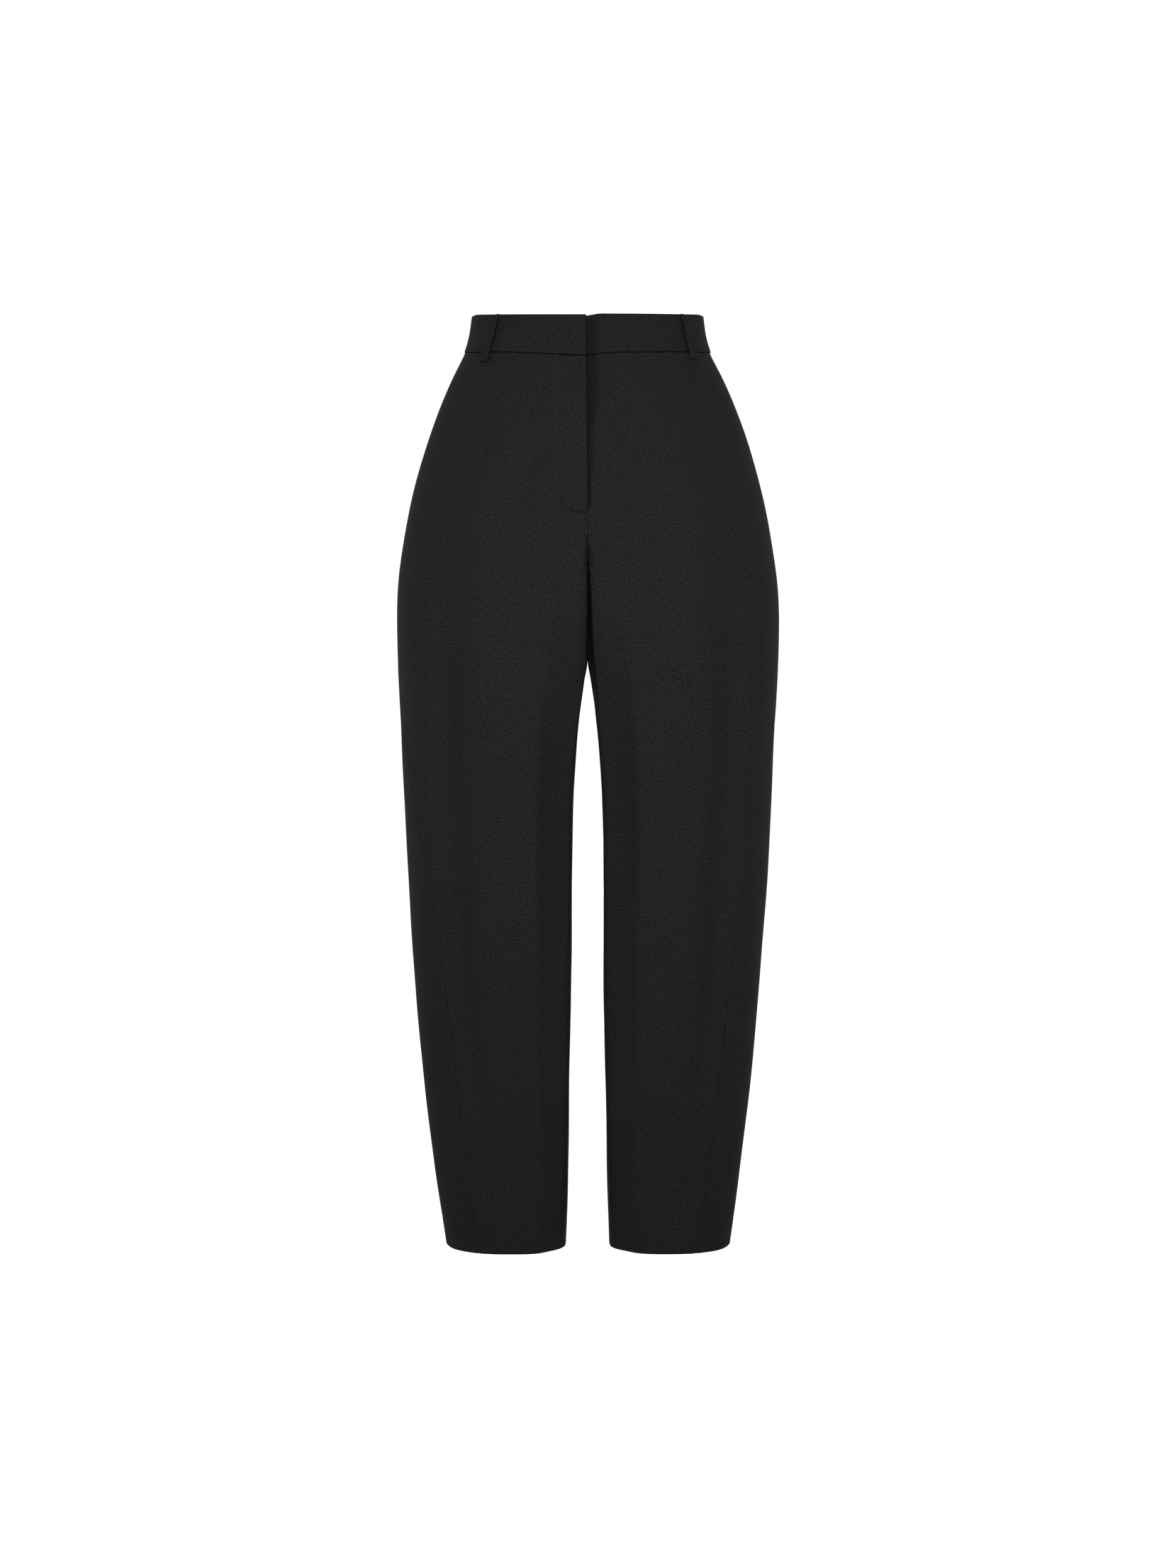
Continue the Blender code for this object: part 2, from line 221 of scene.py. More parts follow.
# Level and how far the inseam lies from the centre plane, in millimetres.
INSEAMS = (
    (-372, 0.015), (-375, 0.03), (-378, 0.1), (-382, 0.55), (-390, 1.9), (-398, 3.5), (-413, 5.9), (-428, 8.0),
    (-459, 11.6), (-490, 14.2), (-521, 16.1), (-552, 17.0), (-614, 17.4), (-707, 17.6), (-831, 19.8),
    (-955, 21.8), (-1012, 23.5),
)

# Level in millimetres and how square the section's front inner corner is: 2 is an ellipse, more is squarer.
CORNERS = (
    (30, 3.0), (-180, 4.0), (-250, 14.0), (-300, 55.0), (-372, 60.0), (-420, 50.0), (-480, 34.0), (-600, 24.0),
    (-800, 15.0), (-920, 10.0), (-975, 6.5), (-1012, 3.6),
)

# Level in millimetres and how far round from the front crease the side seam lies, in degrees.
SEAM_ANGLES = (
    (30, 93.0), (-180, 93.0), (-330, 92.0), (-405, 86.0), (-456, 74.0), (-508, 60.5), (-580, 49.0),
    (-666, 37.9), (-753, 33.5), (-883, 29.5), (-955, 27.3), (-1012, 23.5),
)

# Level in millimetres and how far the facet that faces the other leg falls back, in hundredths of the depth.
FACETS = (
    (-290, 0), (-330, 5), (-372, 14), (-420, 22), (-480, 28), (-620, 28), (-800, 24), (-1012, 18),
)


def section_curve(column: str) -> Curve:
    """The curve through one column of the sections."""
    return Curve(tuple((section.level, getattr(section, column)) for section in SECTIONS))


@dataclass(frozen=True)
class Fold:
    """A soft fold that runs down a front. Levels and depth in millimetres, place and width in turns."""

    start: float
    end: float
    start_turn: float
    end_turn: float
    width: float
    depth: float
    fade: float = 0.25

    def sink(self, turn: Array, level: Array) -> Array:
        """Finds how far the fold sinks the surface.

        Args:
            turn: places round the half.
            level: levels in metres.

        Returns:
            Depths in metres, which fade out over the same share of the fold at both of its ends.
        """
        along = (level / MM - self.start) / (self.end - self.start)
        centre = self.start_turn + along * (self.end_turn - self.start_turn)
        window = ease(along / self.fade) * ease((1 - along) / self.fade)
        return self.depth * MM * window * bump(turn - centre, self.width)


@dataclass(frozen=True)
class Shell:
    """The garment's outer surface, one half at a time.

    A turn goes round a half: 0 at the centre front or the inseam, 1 at the front crease, 2 at the side, 3 at the
    back crease and 4 at the centre back or the inseam again.
    """

    side: Curve = section_curve("side")
    axis: Curve = section_curve("axis")
    front: Curve = section_curve("front")
    back: Curve = section_curve("back")
    inseam: Curve = Curve(INSEAMS)
    side_seam: Curve = Curve(SEAM_ANGLES, math.radians(1))
    front_rise: float = 150 * MM
    back_rise: float = 215 * MM
    front_corner: Curve = Curve(CORNERS, 1.0)
    back_corner: float = 2.5
    facet: Curve = Curve(FACETS, 0.01)
    facet_start: float = -290 * MM
    facet_edge: float = 0.585
    facet_softness: float = 0.045
    facet_hollow: float = 0.45
    seam_slopes: tuple[float, float] = (0.248, 0.05)
    top_slopes: tuple[float, float] = (0.197, 0.09)
    slope_softness: float = 25 * MM
    slope_fade: float = 200 * MM
    side_scoop: float = 1.5 * MM
    scoop_start: float = 120 * MM
    scoop_width: float = 7 * MM
    seam_arch: float = 1.7 * MM
    arch_fade: float = 60 * MM
    seam_dips: tuple[float, float] = (3.1 * MM, 1.8 * MM)
    dip_widths: tuple[float, float] = (75 * MM, 38 * MM)
    top_lift: float = 1.4 * MM
    left_rise: float = 0.9 * MM
    left_rise_fade: float = 150 * MM
    side_dip: float = 2.3 * MM
    side_dip_start: float = 80 * MM
    side_dip_run: float = 48 * MM
    side_dip_back: float = 1.35
    hem_drop: float = 1.2 * MM
    hem_lift: float = 1.0 * MM
    hem_fade: float = 80 * MM
    hem_front: float = 40 * MM
    hem_lift_start: float = 70 * MM
    hem_lift_run: float = 36 * MM
    seam_rise_share: float = 0.4
    underlap_dip: float = 5 * MM
    underlap_dip_start: float = 4 * MM
    underlap_dip_run: float = 30 * MM
    fold_fade: float = 30 * MM
    folds: tuple[Fold, ...] = (
        Fold(-180, -880, 1.33, 1.20, 0.135, 13.0),
        Fold(-130, -430, 0.79, 0.66, 0.09, 2.6),
        Fold(-790, -975, 1.15, 1.11, 0.08, 3.5),
    )

    def pinch(self, level: Array, rise: float, power: Array) -> Array:
        """Finds how nearly the section closes on the centre plane.

        Args:
            level: levels in metres.
            rise: how far above the crotch the closing starts, in metres.
            power: how square the section's inner corner is.

        Returns:
            0 where the section is flat at the centre plane, 1 from the crotch down.
        """
        climb = np.clip((level - CROTCH) / rise, 0, 1)
        reach = np.sqrt(1 - (1 - climb) ** 2)
        return (1 - reach**power) ** (1 / power)

    def tilted(self, inward: Array) -> Array:
        """Finds how far the facet that faces the other leg has fallen back.

        Args:
            inward: places on the way from the section's axis, at 0, to the inseam, at 1.

        Returns:
            Shares from 0 at the facet's edge to 1 at the inseam.
        """
        past = inward - self.facet_edge
        soft = np.clip(past + self.facet_softness, 0, 2 * self.facet_softness) ** 2 / (4 * self.facet_softness)
        share = np.where(past > self.facet_softness, past, soft) / (1 - self.facet_edge)
        return share + self.facet_hollow * share * (1 - share)

    def around(self, turn: Array, level: Array, edge: Array) -> tuple[Array, Array]:
        """Goes round one half of the section.

        Args:
            turn: places round the half.
            level: levels in metres.
            edge: the x of turns 0 and 4 above the crotch.

        Returns:
            x and y on the wearer's left half.
        """
        axis, side = self.axis(level), self.side(level)
        ahead = turn < 2
        depth = np.where(ahead, self.front(level), self.back(level))
        angle = (np.clip(turn, 1, 3) - 1) * math.pi / 2
        x = axis + (side - axis) * np.sin(angle)
        y = -depth * np.cos(angle)
        rim = np.where(level < CROTCH, self.inseam(np.minimum(level, CROTCH)), edge)
        inward = np.cos(np.clip(np.where(ahead, turn, 4 - turn), 0, 1) * math.pi / 2)
        power = np.where(ahead, self.front_corner(level), self.back_corner)
        closing = self.pinch(level, np.where(ahead, self.front_rise, self.back_rise), power)
        swell = (1 - np.clip(closing * inward, 0, 1) ** power) ** (1 / power)
        facet = np.where(ahead, np.clip(self.facet(np.minimum(level, self.facet_start)), 0, 1), 0)
        swell = swell * (1 - facet * self.tilted(inward))
        depth_inside = SEAM_EDGE + (depth - SEAM_EDGE) * swell
        inside = (turn < 1) | (turn > 3)
        x = np.where(inside, axis - (axis - rim) * inward, x)
        y = np.where(inside, np.where(ahead, -depth_inside, depth_inside), y)
        sunk = sum(fold.sink(turn, level) for fold in self.folds)
        return x, y + sunk * ease(-y / self.fold_fade)

    def sloped(self, y: Array, slopes: tuple[float, float]) -> Array:
        """Slopes an edge, with a soft bend at the side.

        Args:
            y: places from the side, in metres, below 0 at the front.
            slopes: the slopes in front of the side and behind it.

        Returns:
            How far the edge rises there, in metres.
        """
        bend = np.sqrt(y * y + self.slope_softness**2) - self.slope_softness
        forward, backward = slopes
        return (forward + backward) / 2 * y + (backward - forward) / 2 * bend

    def beside_fly(self, x: Array) -> Array:
        """How much higher the left half sits, which is most beside the fly."""
        return self.left_rise * ease(1 - x / self.left_rise_fade)

    def seam_level(self, x: Array, y: Array, raised: Array | bool) -> Array:
        """Finds the level of the seam between the waistband and the panels.

        Args:
            x, y: places on the wearer's left half, in metres.
            raised: whether this half sits higher beside the fly.

        Returns:
            Levels in metres.
        """
        rise = self.sloped(y, self.seam_slopes)
        right_dip, left_dip = (d * ease(1 - x / w) for d, w in zip(self.seam_dips, self.dip_widths))
        arch = ease(-y / self.arch_fade) * (self.seam_arch - right_dip - raised * (left_dip - right_dip))
        beside = ease((x - self.side_dip_start) / self.side_dip_run)
        arch -= self.side_dip * beside * ease(self.side_dip_back - y / self.arch_fade)
        return BAND_SEAM + rise + arch + raised * self.seam_rise_share * self.beside_fly(x)

    def top_level(self, x: Array, y: Array, raised: Array | bool) -> Array:
        """Finds the level of the waist's top edge.

        Args:
            x, y: places on the wearer's left half, in metres.
            raised: whether this half sits higher beside the fly.

        Returns:
            Levels in metres.
        """
        dip = self.underlap_dip * ease(-(x + self.underlap_dip_start) / self.underlap_dip_run)
        scoop = self.side_scoop * ease((x - self.scoop_start) / self.scoop_width)
        rise = self.sloped(y, self.top_slopes) - scoop + self.top_lift
        return rise + raised * (np.where(y < 0, self.beside_fly(x), 0) - dip)

    def hem_dip(self, x: Array, y: Array, level: Array) -> Array:
        """How much lower the front of the hem hangs than a level one. Its inner part hangs higher."""
        dip = self.hem_drop - self.hem_lift * ease((self.hem_lift_start - x) / self.hem_lift_run)
        return dip * ease(1 - (level - HEM) / self.hem_fade) * ease(-y / self.hem_front)

    def panel(self, turn: Array, level: Array, edge_at: Callable[[Array], Array], raised: bool) -> Array:
        """Points of a panel. Its rows follow the sloping waist seam at the top and are flat lower down.

        Args:
            turn: places round the half.
            level: the rows' levels at the side, in metres.
            edge_at: gives the x of the centre edge at a level.
            raised: whether the panel sits higher beside the fly.

        Returns:
            Points on the wearer's left half.
        """
        x, y = self.around(turn, level, edge_at(level))
        fade = ease(1 - (BAND_SEAM - level) / self.slope_fade)
        z = level + (self.seam_level(x, y, raised * (y < 0)) - BAND_SEAM) * fade - self.hem_dip(x, y, level)
        x, y = self.around(turn, z, edge_at(z))
        return np.stack([x, y, z], axis=-1)


@dataclass(frozen=True)
class Wrinkle:
    """A short crease across a leg. Place, sizes and depth in millimetres, tilt in degrees, up towards the side."""

    x: float
    z: float
    length: float
    width: float
    tilt: float
    depth: float
    arch: float = 0.004
    lip: float = 0.6
    lip_place: float = 1.6

    def height(self, x: Array, z: Array) -> Array:
        """Its relief, an arched valley with a lip above it.

        Args:
            x, z: places in metres.

        Returns:
            Heights in metres.
        """
        turn = math.radians(self.tilt)
        dx, dz = x / MM - self.x, z / MM - self.z
        along = dx * math.cos(turn) + dz * math.sin(turn)
        across = dz * math.cos(turn) - dx * math.sin(turn)
        across = across + self.arch * along**2
        lip = self.lip * bump(across - self.lip_place * self.width, self.width)
        return -self.depth * MM * (bump(across, self.width) - lip) * bump(along, self.length)


FRONT_WRINKLES = (
    Wrinkle(122, -728, 20, 5, -24, 1.5),
    Wrinkle(150, -748, 17, 5, 18, 1.2),
    Wrinkle(134, -770, 22, 6, -12, 1.3),
    Wrinkle(98, -744, 24, 6, 14, 1.1),
    Wrinkle(53, -742, 14, 5, -20, 1.2),
    Wrinkle(46, -772, 12, 5, 12, 0.9),
    Wrinkle(74, -802, 26, 7, 10, 0.5),
    Wrinkle(40, -430, 20, 7, 38, 1.0),
    Wrinkle(48, -470, 18, 7, 30, 0.7),
)
BACK_WRINKLES = (
    Wrinkle(110, -640, 46, 9, -10, 1.3),
    Wrinkle(84, -676, 40, 8, 14, 1.5),
    Wrinkle(130, -700, 38, 8, -16, 1.3),
    Wrinkle(96, -738, 42, 9, 8, 1.2),
    Wrinkle(62, -410, 40, 11, 34, 2.0),
    Wrinkle(84, -448, 44, 12, 26, 1.6),
    Wrinkle(120, -500, 40, 12, 16, 1.0),
)


@dataclass(frozen=True)
class FlyStitch:
    """The line of pick stitches that holds the fly facing: down the right front, then round to the centre seam.

    Points are x towards the wearer's right and z, in millimetres.
    """

    points: tuple[tuple[float, float], ...] = (
        (34.9, -63.0),
        (34.2, -80.0),
        (33.7, -110.0),
        (33.6, -150.0),
        (33.5, -182.0),
        (32.6, -197.0),
        (30.1, -208.5),
        (26.1, -216.8),
        (20.4, -222.4),
        (12.0, -225.8),
        (2.0, -226.8),
    )
    pitch: float = 2.15 * MM
    groove: float = 0.3 * MM
    end_groove: float = 2.2 * MM
    end_groove_start: float = -200 * MM
    end_groove_run: float = 20 * MM
    groove_width: float = 1.1 * MM
    facing_lift: float = 0.4 * MM
    facing_slope: float = 3 * MM
    search_step: float = 1.5 * MM
    samples: int = 400

    def line(self, step: float) -> Array:
        """Walks along the line.

        Args:
            step: the distance from point to point, in metres.

        Returns:
            The points' x and z, in metres.
        """
        knots = np.array(self.points) * MM
        fine = np.linspace(0, len(knots) - 1, self.samples)
        rounded = np.stack([self.rounded(knots[:, k], fine) for k in (0, 1)], axis=1)
        run = np.concatenate([[0], np.cumsum(np.linalg.norm(np.diff(rounded, axis=0), axis=1))])
        at = np.arange(step / 2, run[-1], step)
        return np.stack([np.interp(at, run, rounded[:, k]) for k in (0, 1)], axis=1)

    def rounded(self, values: Array, at: Array) -> Array:
        """Reads a Catmull-Rom curve through values.

        Args:
            values: the values that it passes through.
            at: where it is read, in numbers of values from the first.

        Returns:
            The curve's values there.
        """
        padded = np.concatenate([[2 * values[0] - values[1]], values, [2 * values[-1] - values[-2]]])
        i = np.clip(at.astype(int), 0, len(values) - 2)
        t = at - i
        a, b, c, d = padded[i], padded[i + 1], padded[i + 2], padded[i + 3]
        return b + 0.5 * t * (c - a + t * (2 * a - 5 * b + 4 * c - d + t * (3 * (b - c) + d - a)))

    def height(self, x: Array, z: Array) -> Array:
        """Gives the relief of the facing's extra layers and of the groove that the stitches pull in.

        Args:
            x, z: places in metres.

        Returns:
            Heights in metres.
        """
        line = self.line(self.search_step)
        spots = np.stack([x, z], axis=-1)
        near = np.full(x.shape, np.inf)
        for point in line:
            near = np.minimum(near, np.linalg.norm(spots - point, axis=-1))
        inside = (z > self.points[-1][1] * MM) & (x < np.interp(-z, -line[:, 1], line[:, 0]))
        signed = np.where(inside, near, -near)
        deeper = ease((self.end_groove_start - z) / self.end_groove_run)
        groove = self.groove + (self.end_groove - self.groove) * deeper
        lift = self.facing_lift * ease(signed / self.facing_slope + 0.5)
        return lift - groove * bump(near, self.groove_width)


@dataclass
class ClothGrid:
    """A flat grid that is shaped into a sheet of cloth.

    outer holds the points of its face, row by row from the top and by increasing turn, on the wearer's left
    half. weave holds each point's place on the flat cut, in metres.
    """

    name: str
    outer: Array
    weave: Array
    half: Half
    thickness: float
    rounding: float = 0.0
    rounding_segments: int = 3
    rounded_angle: float = math.radians(50)
    smooth_angle: float = math.radians(48)

    def build(self) -> bpy.types.Object:
        """Makes the sheet.

        Returns:
            The finished object, at the origin.
        """
        rows, columns = self.outer.shape[:2]
        deselect()
        bpy.ops.mesh.primitive_grid_add(x_subdivisions=columns - 1, y_subdivisions=rows - 1, size=1)
        piece = bpy.context.object
        piece.name = piece.data.name = self.name
        mesh = piece.data
        flat = np.empty(len(mesh.vertices) * 3)
        mesh.vertices.foreach_get("co", flat)
        flat = flat.reshape(-1, 3)
        column = np.rint((flat[:, 0] + 0.5) * (columns - 1)).astype(int)
        row = np.rint((0.5 - flat[:, 1]) * (rows - 1)).astype(int)
        if self.half is Half.RIGHT:
            column = columns - 1 - column
        placed = self.outer[row, column] * np.array([self.half.value, 1, 1])
        mesh.vertices.foreach_set("co", placed.ravel())
        laid = self.weave[row, column] * np.array([self.half.value, 1])
        corners = np.empty(len(mesh.loops), int)
        mesh.loops.foreach_get("vertex_index", corners)
        mesh.uv_layers.active.data.foreach_set("uv", laid[corners].ravel())
        mesh.update()
        apply_modifier(piece, "SOLIDIFY", thickness=self.thickness, offset=-1)
        if self.rounding:
            limit = {"limit_method": "ANGLE", "angle_limit": self.rounded_angle}
            apply_modifier(piece, "BEVEL", width=self.rounding, segments=self.rounding_segments, **limit)
        only(piece)
        bpy.ops.object.shade_smooth_by_angle(angle=self.smooth_angle)
        return piece


# Levels between which a front's rows lie closer together, with their step: round the fly's end on the right, down
# the hollow beside the centre seam on the left.
FINE_ROWS = {
    Half.RIGHT: (FLY_END - 6 * MM, FLY_END + 34 * MM, 0.9 * MM),
    Half.LEFT: (-400 * MM, -240 * MM, 1.5 * MM),
}


class Wave(NamedTuple):
    """A long wave over the cloth: height in millimetres, radians a metre along each axis, and phase."""

    height: float
    x: float
    y: float
    z: float
    phase: float


CLOTH_WAVES = (
    Wave(0.34, 23.0, 11.0, 8.0, 0.4),
    Wave(0.30, -31.0, 17.0, 14.0, 1.9),
    Wave(0.22, 12.0, -42.0, 29.0, 4.1),
    Wave(0.16, 58.0, 26.0, -22.0, 2.7),
    Wave(0.10, -74.0, 51.0, 63.0, 5.2),
)


@dataclass
class Panel:
    """One trouser panel: a front or a back of one leg.

    Pairs of levels in millimetres, such as hollow_start, say where something begins and where it is whole.
    """

    part: Part
    half: Half
    shell: Shell = field(default_factory=Shell)
    fly: FlyStitch = field(default_factory=FlyStitch)
    cloth: float = 1.1 * MM
    across_step: float = 3.7 * MM
    down_step: float = 3.3 * MM
    wall_step: float = 9.0 * MM
    inner_corner: float = 0.08
    near_edge: tuple[float, ...] = (0.0, 0.25 * MM, 0.6 * MM, 1.1 * MM, 2.0 * MM, 3.6 * MM)
    corner_zone: tuple[float, float] = (46.0, 12.0)
    corner_steps: tuple[float, float] = (1.1, 0.7)
    samples: int = 300
    probe: float = 0.004
    edge_roll: float = 0.85 * MM
    hem_roll_share: float = 0.8
    centre_fade: float = 6 * MM
    seam_ridge: float = 0.4 * MM
    inseam_ridge_share: float = 0.5
    inseam_ridge_fade: float = 90 * MM
    ridge_place: float = 5.0 * MM
    ridge_width: float = 3.2 * MM
    lap_at_waist: float = 1.7 * MM
    underlap: float = 26 * MM
    underlap_end: float = FLY_END + 5 * MM
    underlap_corner: float = 110 * MM
    tuck_reach: Curve = Curve(
        ((-38, 15), (-80, 15.5), (-105, 14.5), (-135, 8.5), (-160, 7.2), (-195, 6.0), (-226, 4.6))
    )
    tuck_depth: Curve = Curve(((-38, 12), (-105, 11), (-135, 9), (-226, 6.5)))
    tuck_fade: float = 9 * MM
    hollow_depth: float = 34.0 * MM
    hollow_widths: tuple[tuple[float, float], ...] = (
        *((-440, 3.0), (-400, 5.0), (-384, 6.6), (-371, 6.0)),
        *((-350, 4.9), (-314, 4.2), (-270, 3.4), (-258, 0.6)),
    )
    hollow_start: tuple[float, float] = (-238, -262)
    hollow_end: tuple[float, float] = (-446, -374)
    hollow_end_power: float = 1.5
    hollow_side_fade: float = 60 * MM
    hollow_wall: float = 0.9 * MM
    hollow_wall_start: tuple[float, float] = (-264, -288)
    hollow_slope: float = 0.14
    hollow_slope_reach: tuple[float, float] = (3.0, 3 * MM)
    lap_slope: float = 0.09
    lap_slope_reach: float = 10 * MM
    parting: float = 0.9 * MM
    parting_start: tuple[float, float] = (-318, -362)
    parting_end: tuple[float, float] = (-392, -376)
    parting_reach: float = 8 * MM
    tucked: float = 1.8 * MM
    tucked_end: tuple[float, float] = (-378, -368)
    tucked_from: float = 0.4
    tucked_depth: float = 10 * MM
    hem_line: float = 29 * MM
    hem_dent: float = 0.14 * MM
    hem_dent_width: float = 1.6 * MM
    wrinkle_fade: float = 0.1
    dart_turn: float = 3.1
    dart_length: float = 105 * MM
    dart_depth: float = 0.5 * MM
    dart_width: float = 0.018
    dart_lean: float = 0.05
    dart_fade: float = 0.6

    @property
    def name(self) -> str:
        """The node's name."""
        return f"{self.part.value}_{self.half.name.lower()}"

    def edge(self, level: Array) -> Array:
        """Places the centre edge: the right front laps, the left front goes on under it, the backs meet.

        Args:
            level: levels in metres.

        Returns:
            The x of the edge there, in metres.
        """
        if self.part is Part.BACK:
            return np.full_like(level, SEAM_EDGE)
        if self.half is Half.RIGHT:
            lap = self.lap_at_waist * ease((level - FLY_END) / (BAND_SEAM - FLY_END))
            return np.maximum(lap, SEAM_EDGE)
        under = ease((level - self.underlap_end) / self.underlap_corner)
        return SEAM_EDGE - (self.underlap + SEAM_EDGE) * under

    def turns(self, level: Array) -> tuple[Array, Array]:
        """Finds where the panel starts and ends.

        Args:
            level: levels in metres.

        Returns:
            The first and the last turn at each level.
        """
        shell = self.shell
        radius = np.hypot(shell.side(level) - shell.axis(level), shell.front(level)) / math.sqrt(2)
        back = SEAM_EDGE / radius
        if self.part is Part.FRONT:
            return np.zeros_like(level), 1 + (shell.side_seam(level) - back) / (math.pi / 2)
        return 1 + (shell.side_seam(level) + back) / (math.pi / 2), np.full_like(level, 4.0)

    def surface(self, turn: Array, level: Array) -> Array:
        """Shapes the panel's plain surface. The left front sinks beside and under the right front.

        Args:
            turn: places round the half.
            level: levels in metres.

        Returns:
            Points on the wearer's left half.
        """
        left_front = self.part is Part.FRONT and self.half is Half.LEFT
        points = self.shell.panel(turn, level, self.edge, left_front)
        if left_front:
            x, z = points[..., 0], points[..., 2]
            held = np.clip(z, FLY_END, BAND_SEAM)
            sunk = self.tuck_depth(held) * recess(x, self.tuck_reach(held))
            points[..., 1] += sunk * ease((z - FLY_END) / self.tuck_fade)
        return points

    def normals(self, turn: Array, level: Array) -> Array:
        """Finds the plain surface's normals.

        Args:
            turn: places round the half.
            level: levels in metres.

        Returns:
            Unit normals that point outwards on the left half.
        """
        after, before = np.minimum(turn + self.probe, 4), np.maximum(turn - self.probe, 0)
        along = self.surface(after, level) - self.surface(before, level)
        up = self.surface(turn, level + MM) - self.surface(turn, level - MM)
        return unit(np.cross(along, up))

    def rows(self) -> Array:
        """Places the rows.

        Returns:
            Their levels from the waistband to the hem, closer together at both edges and at the FINE_ROWS.
        """
        length, near = BAND_SEAM - HEM, self.near_edge
        middle = np.linspace(near[-1], length - near[-1], round(length / self.down_step))
        places = np.array([*near[:-1], *middle, *(length - place for place in near[-2::-1])])
        if self.part is Part.FRONT:
            fine = BAND_SEAM - np.arange(*FINE_ROWS[self.half])
            outside = (places < fine.min() - MM) | (places > fine.max() + MM)
            places = np.sort(np.concatenate([places[outside], fine]))
        return BAND_SEAM - places

    def places(self, length: float, wall: bool) -> Array:
        """Distances from one edge of the panel to the section's inner corner, in its longest row.

        Args:
            length: how far the corner is from the edge there.
            wall: whether this is the short side, the wall that faces the other leg.

        Returns:
            The distances, close together at the edge and in front of a front's corner.
        """
        last = [length]
        if self.part is Part.FRONT and not wall:
            far, near = self.corner_zone
            coarse, fine = self.corner_steps
            last = length - np.concatenate([np.arange(far, near, -coarse), np.arange(near, 0, -fine), [0]]) * MM
        count = max(2, round((last[0] - self.near_edge[-1]) / (self.wall_step if wall else self.across_step)))
        middle = np.linspace(self.near_edge[-1], last[0], count + 1)[1:-1]
        return np.concatenate([self.near_edge, middle, last])

    def layout(self) -> tuple[Array, Array, Array, Array]:
        """Lays out the grid over the cloth, in two zones that meet at the section's inner corner.

        Returns:
            Turn, level, distance from the first edge and each row's width.
        """
        levels = self.rows()
        first, last = self.turns(levels)
        front = self.part is Part.FRONT
        corner = np.full_like(levels, self.inner_corner if front else 4 - self.inner_corner)
        near = self.near_edge[-1]
        turns, runs, start = [], [], np.zeros((len(levels), 1))
        for low, high, wall in ((first, corner, front), (corner, last, not front)):
            dense = low[:, None] + (high - low)[:, None] * np.linspace(0, 1, self.samples)
            points = self.surface(dense, np.repeat(levels[:, None], self.samples, axis=1))
            run = np.zeros(dense.shape)
            run[:, 1:] = np.cumsum(np.linalg.norm(np.diff(points, axis=1), axis=-1), axis=1)
            places = self.places(run[:, -1].max(), wall)
            keep = np.minimum(near, run[:, -1:] / 2)
            stretch = (run[:, -1:] - keep) / (places[-1] - near)
            at = np.where(places < near, places * keep / near, keep + (places - near) * stretch)
            if low is corner:
                at = run[:, -1:] - at[:, ::-1]
            turns.append(np.stack([np.interp(a, r, d) for a, r, d in zip(at, run, dense)]))
            runs.append(start + at)
            start = start + run[:, -1:]
        turn = np.concatenate([turns[0], turns[1][:, 1:]], axis=1)
        across = np.concatenate([runs[0], runs[1][:, 1:]], axis=1)
        level = np.repeat(levels[:, None], turn.shape[1], axis=1)
        return turn, level, across, np.repeat(start, turn.shape[1], axis=1)

    def rolled(self, distance: Array) -> Array:
        """How far an edge is turned in, by the distance from it in metres."""
        inside = np.clip(self.edge_roll - distance, 0, self.edge_roll)
        return -(self.edge_roll - np.sqrt(self.edge_roll**2 - inside**2))

    def relief(self, points: Array, turn: Array, across: Array, width: Array) -> Array:
        """The height of seams, folds and stitching over the plain surface.

        Args:
            points: the plain surface's points.
            turn: their turns.
            across: their distances from the first edge.
            width: the width of the panel at each.

        Returns:
            Heights along the normals, in metres.
        """
        x, y, z = points[..., 0], points[..., 1], points[..., 2]
        to_last = width - across
        side, centre = (to_last, across) if self.part is Part.FRONT else (across, to_last)
        height = self.rolled(side) + self.rolled(centre)
        height += self.rolled(z - HEM) * self.hem_roll_share
        height += self.seam_ridge * bump(side - self.ridge_place, self.ridge_width)
        inseam = self.inseam_ridge_share * self.seam_ridge * bump(centre - self.ridge_place, self.ridge_width)
        height += inseam * ease((CROTCH - z) / self.inseam_ridge_fade)
        if self.part is Part.FRONT:
            wrinkles, facing = FRONT_WRINKLES, ease((2 - self.wrinkle_fade - turn) / self.wrinkle_fade)
        else:
            wrinkles, facing = BACK_WRINKLES, ease((turn - (2 + self.wrinkle_fade)) / self.wrinkle_fade)
        height += sum(wrinkle.height(x, z) for wrinkle in wrinkles) * facing
        height += self.undulation(x * self.half.value, y, z)
        height -= self.hem_dent * bump(z - HEM - self.hem_line, self.hem_dent_width)
        if self.part is Part.FRONT and self.half is Half.RIGHT:
            height += self.fly.height(x, z)
        if self.part is Part.BACK:
            height += self.dart(turn, z)
        return height

    def undulation(self, x: Array, y: Array, z: Array) -> Array:
        """The cloth's slight unevenness, from a few long waves."""
        return sum(w.height * MM * np.sin(w.x * x + w.y * y + w.z * z + w.phase) for w in CLOTH_WAVES)

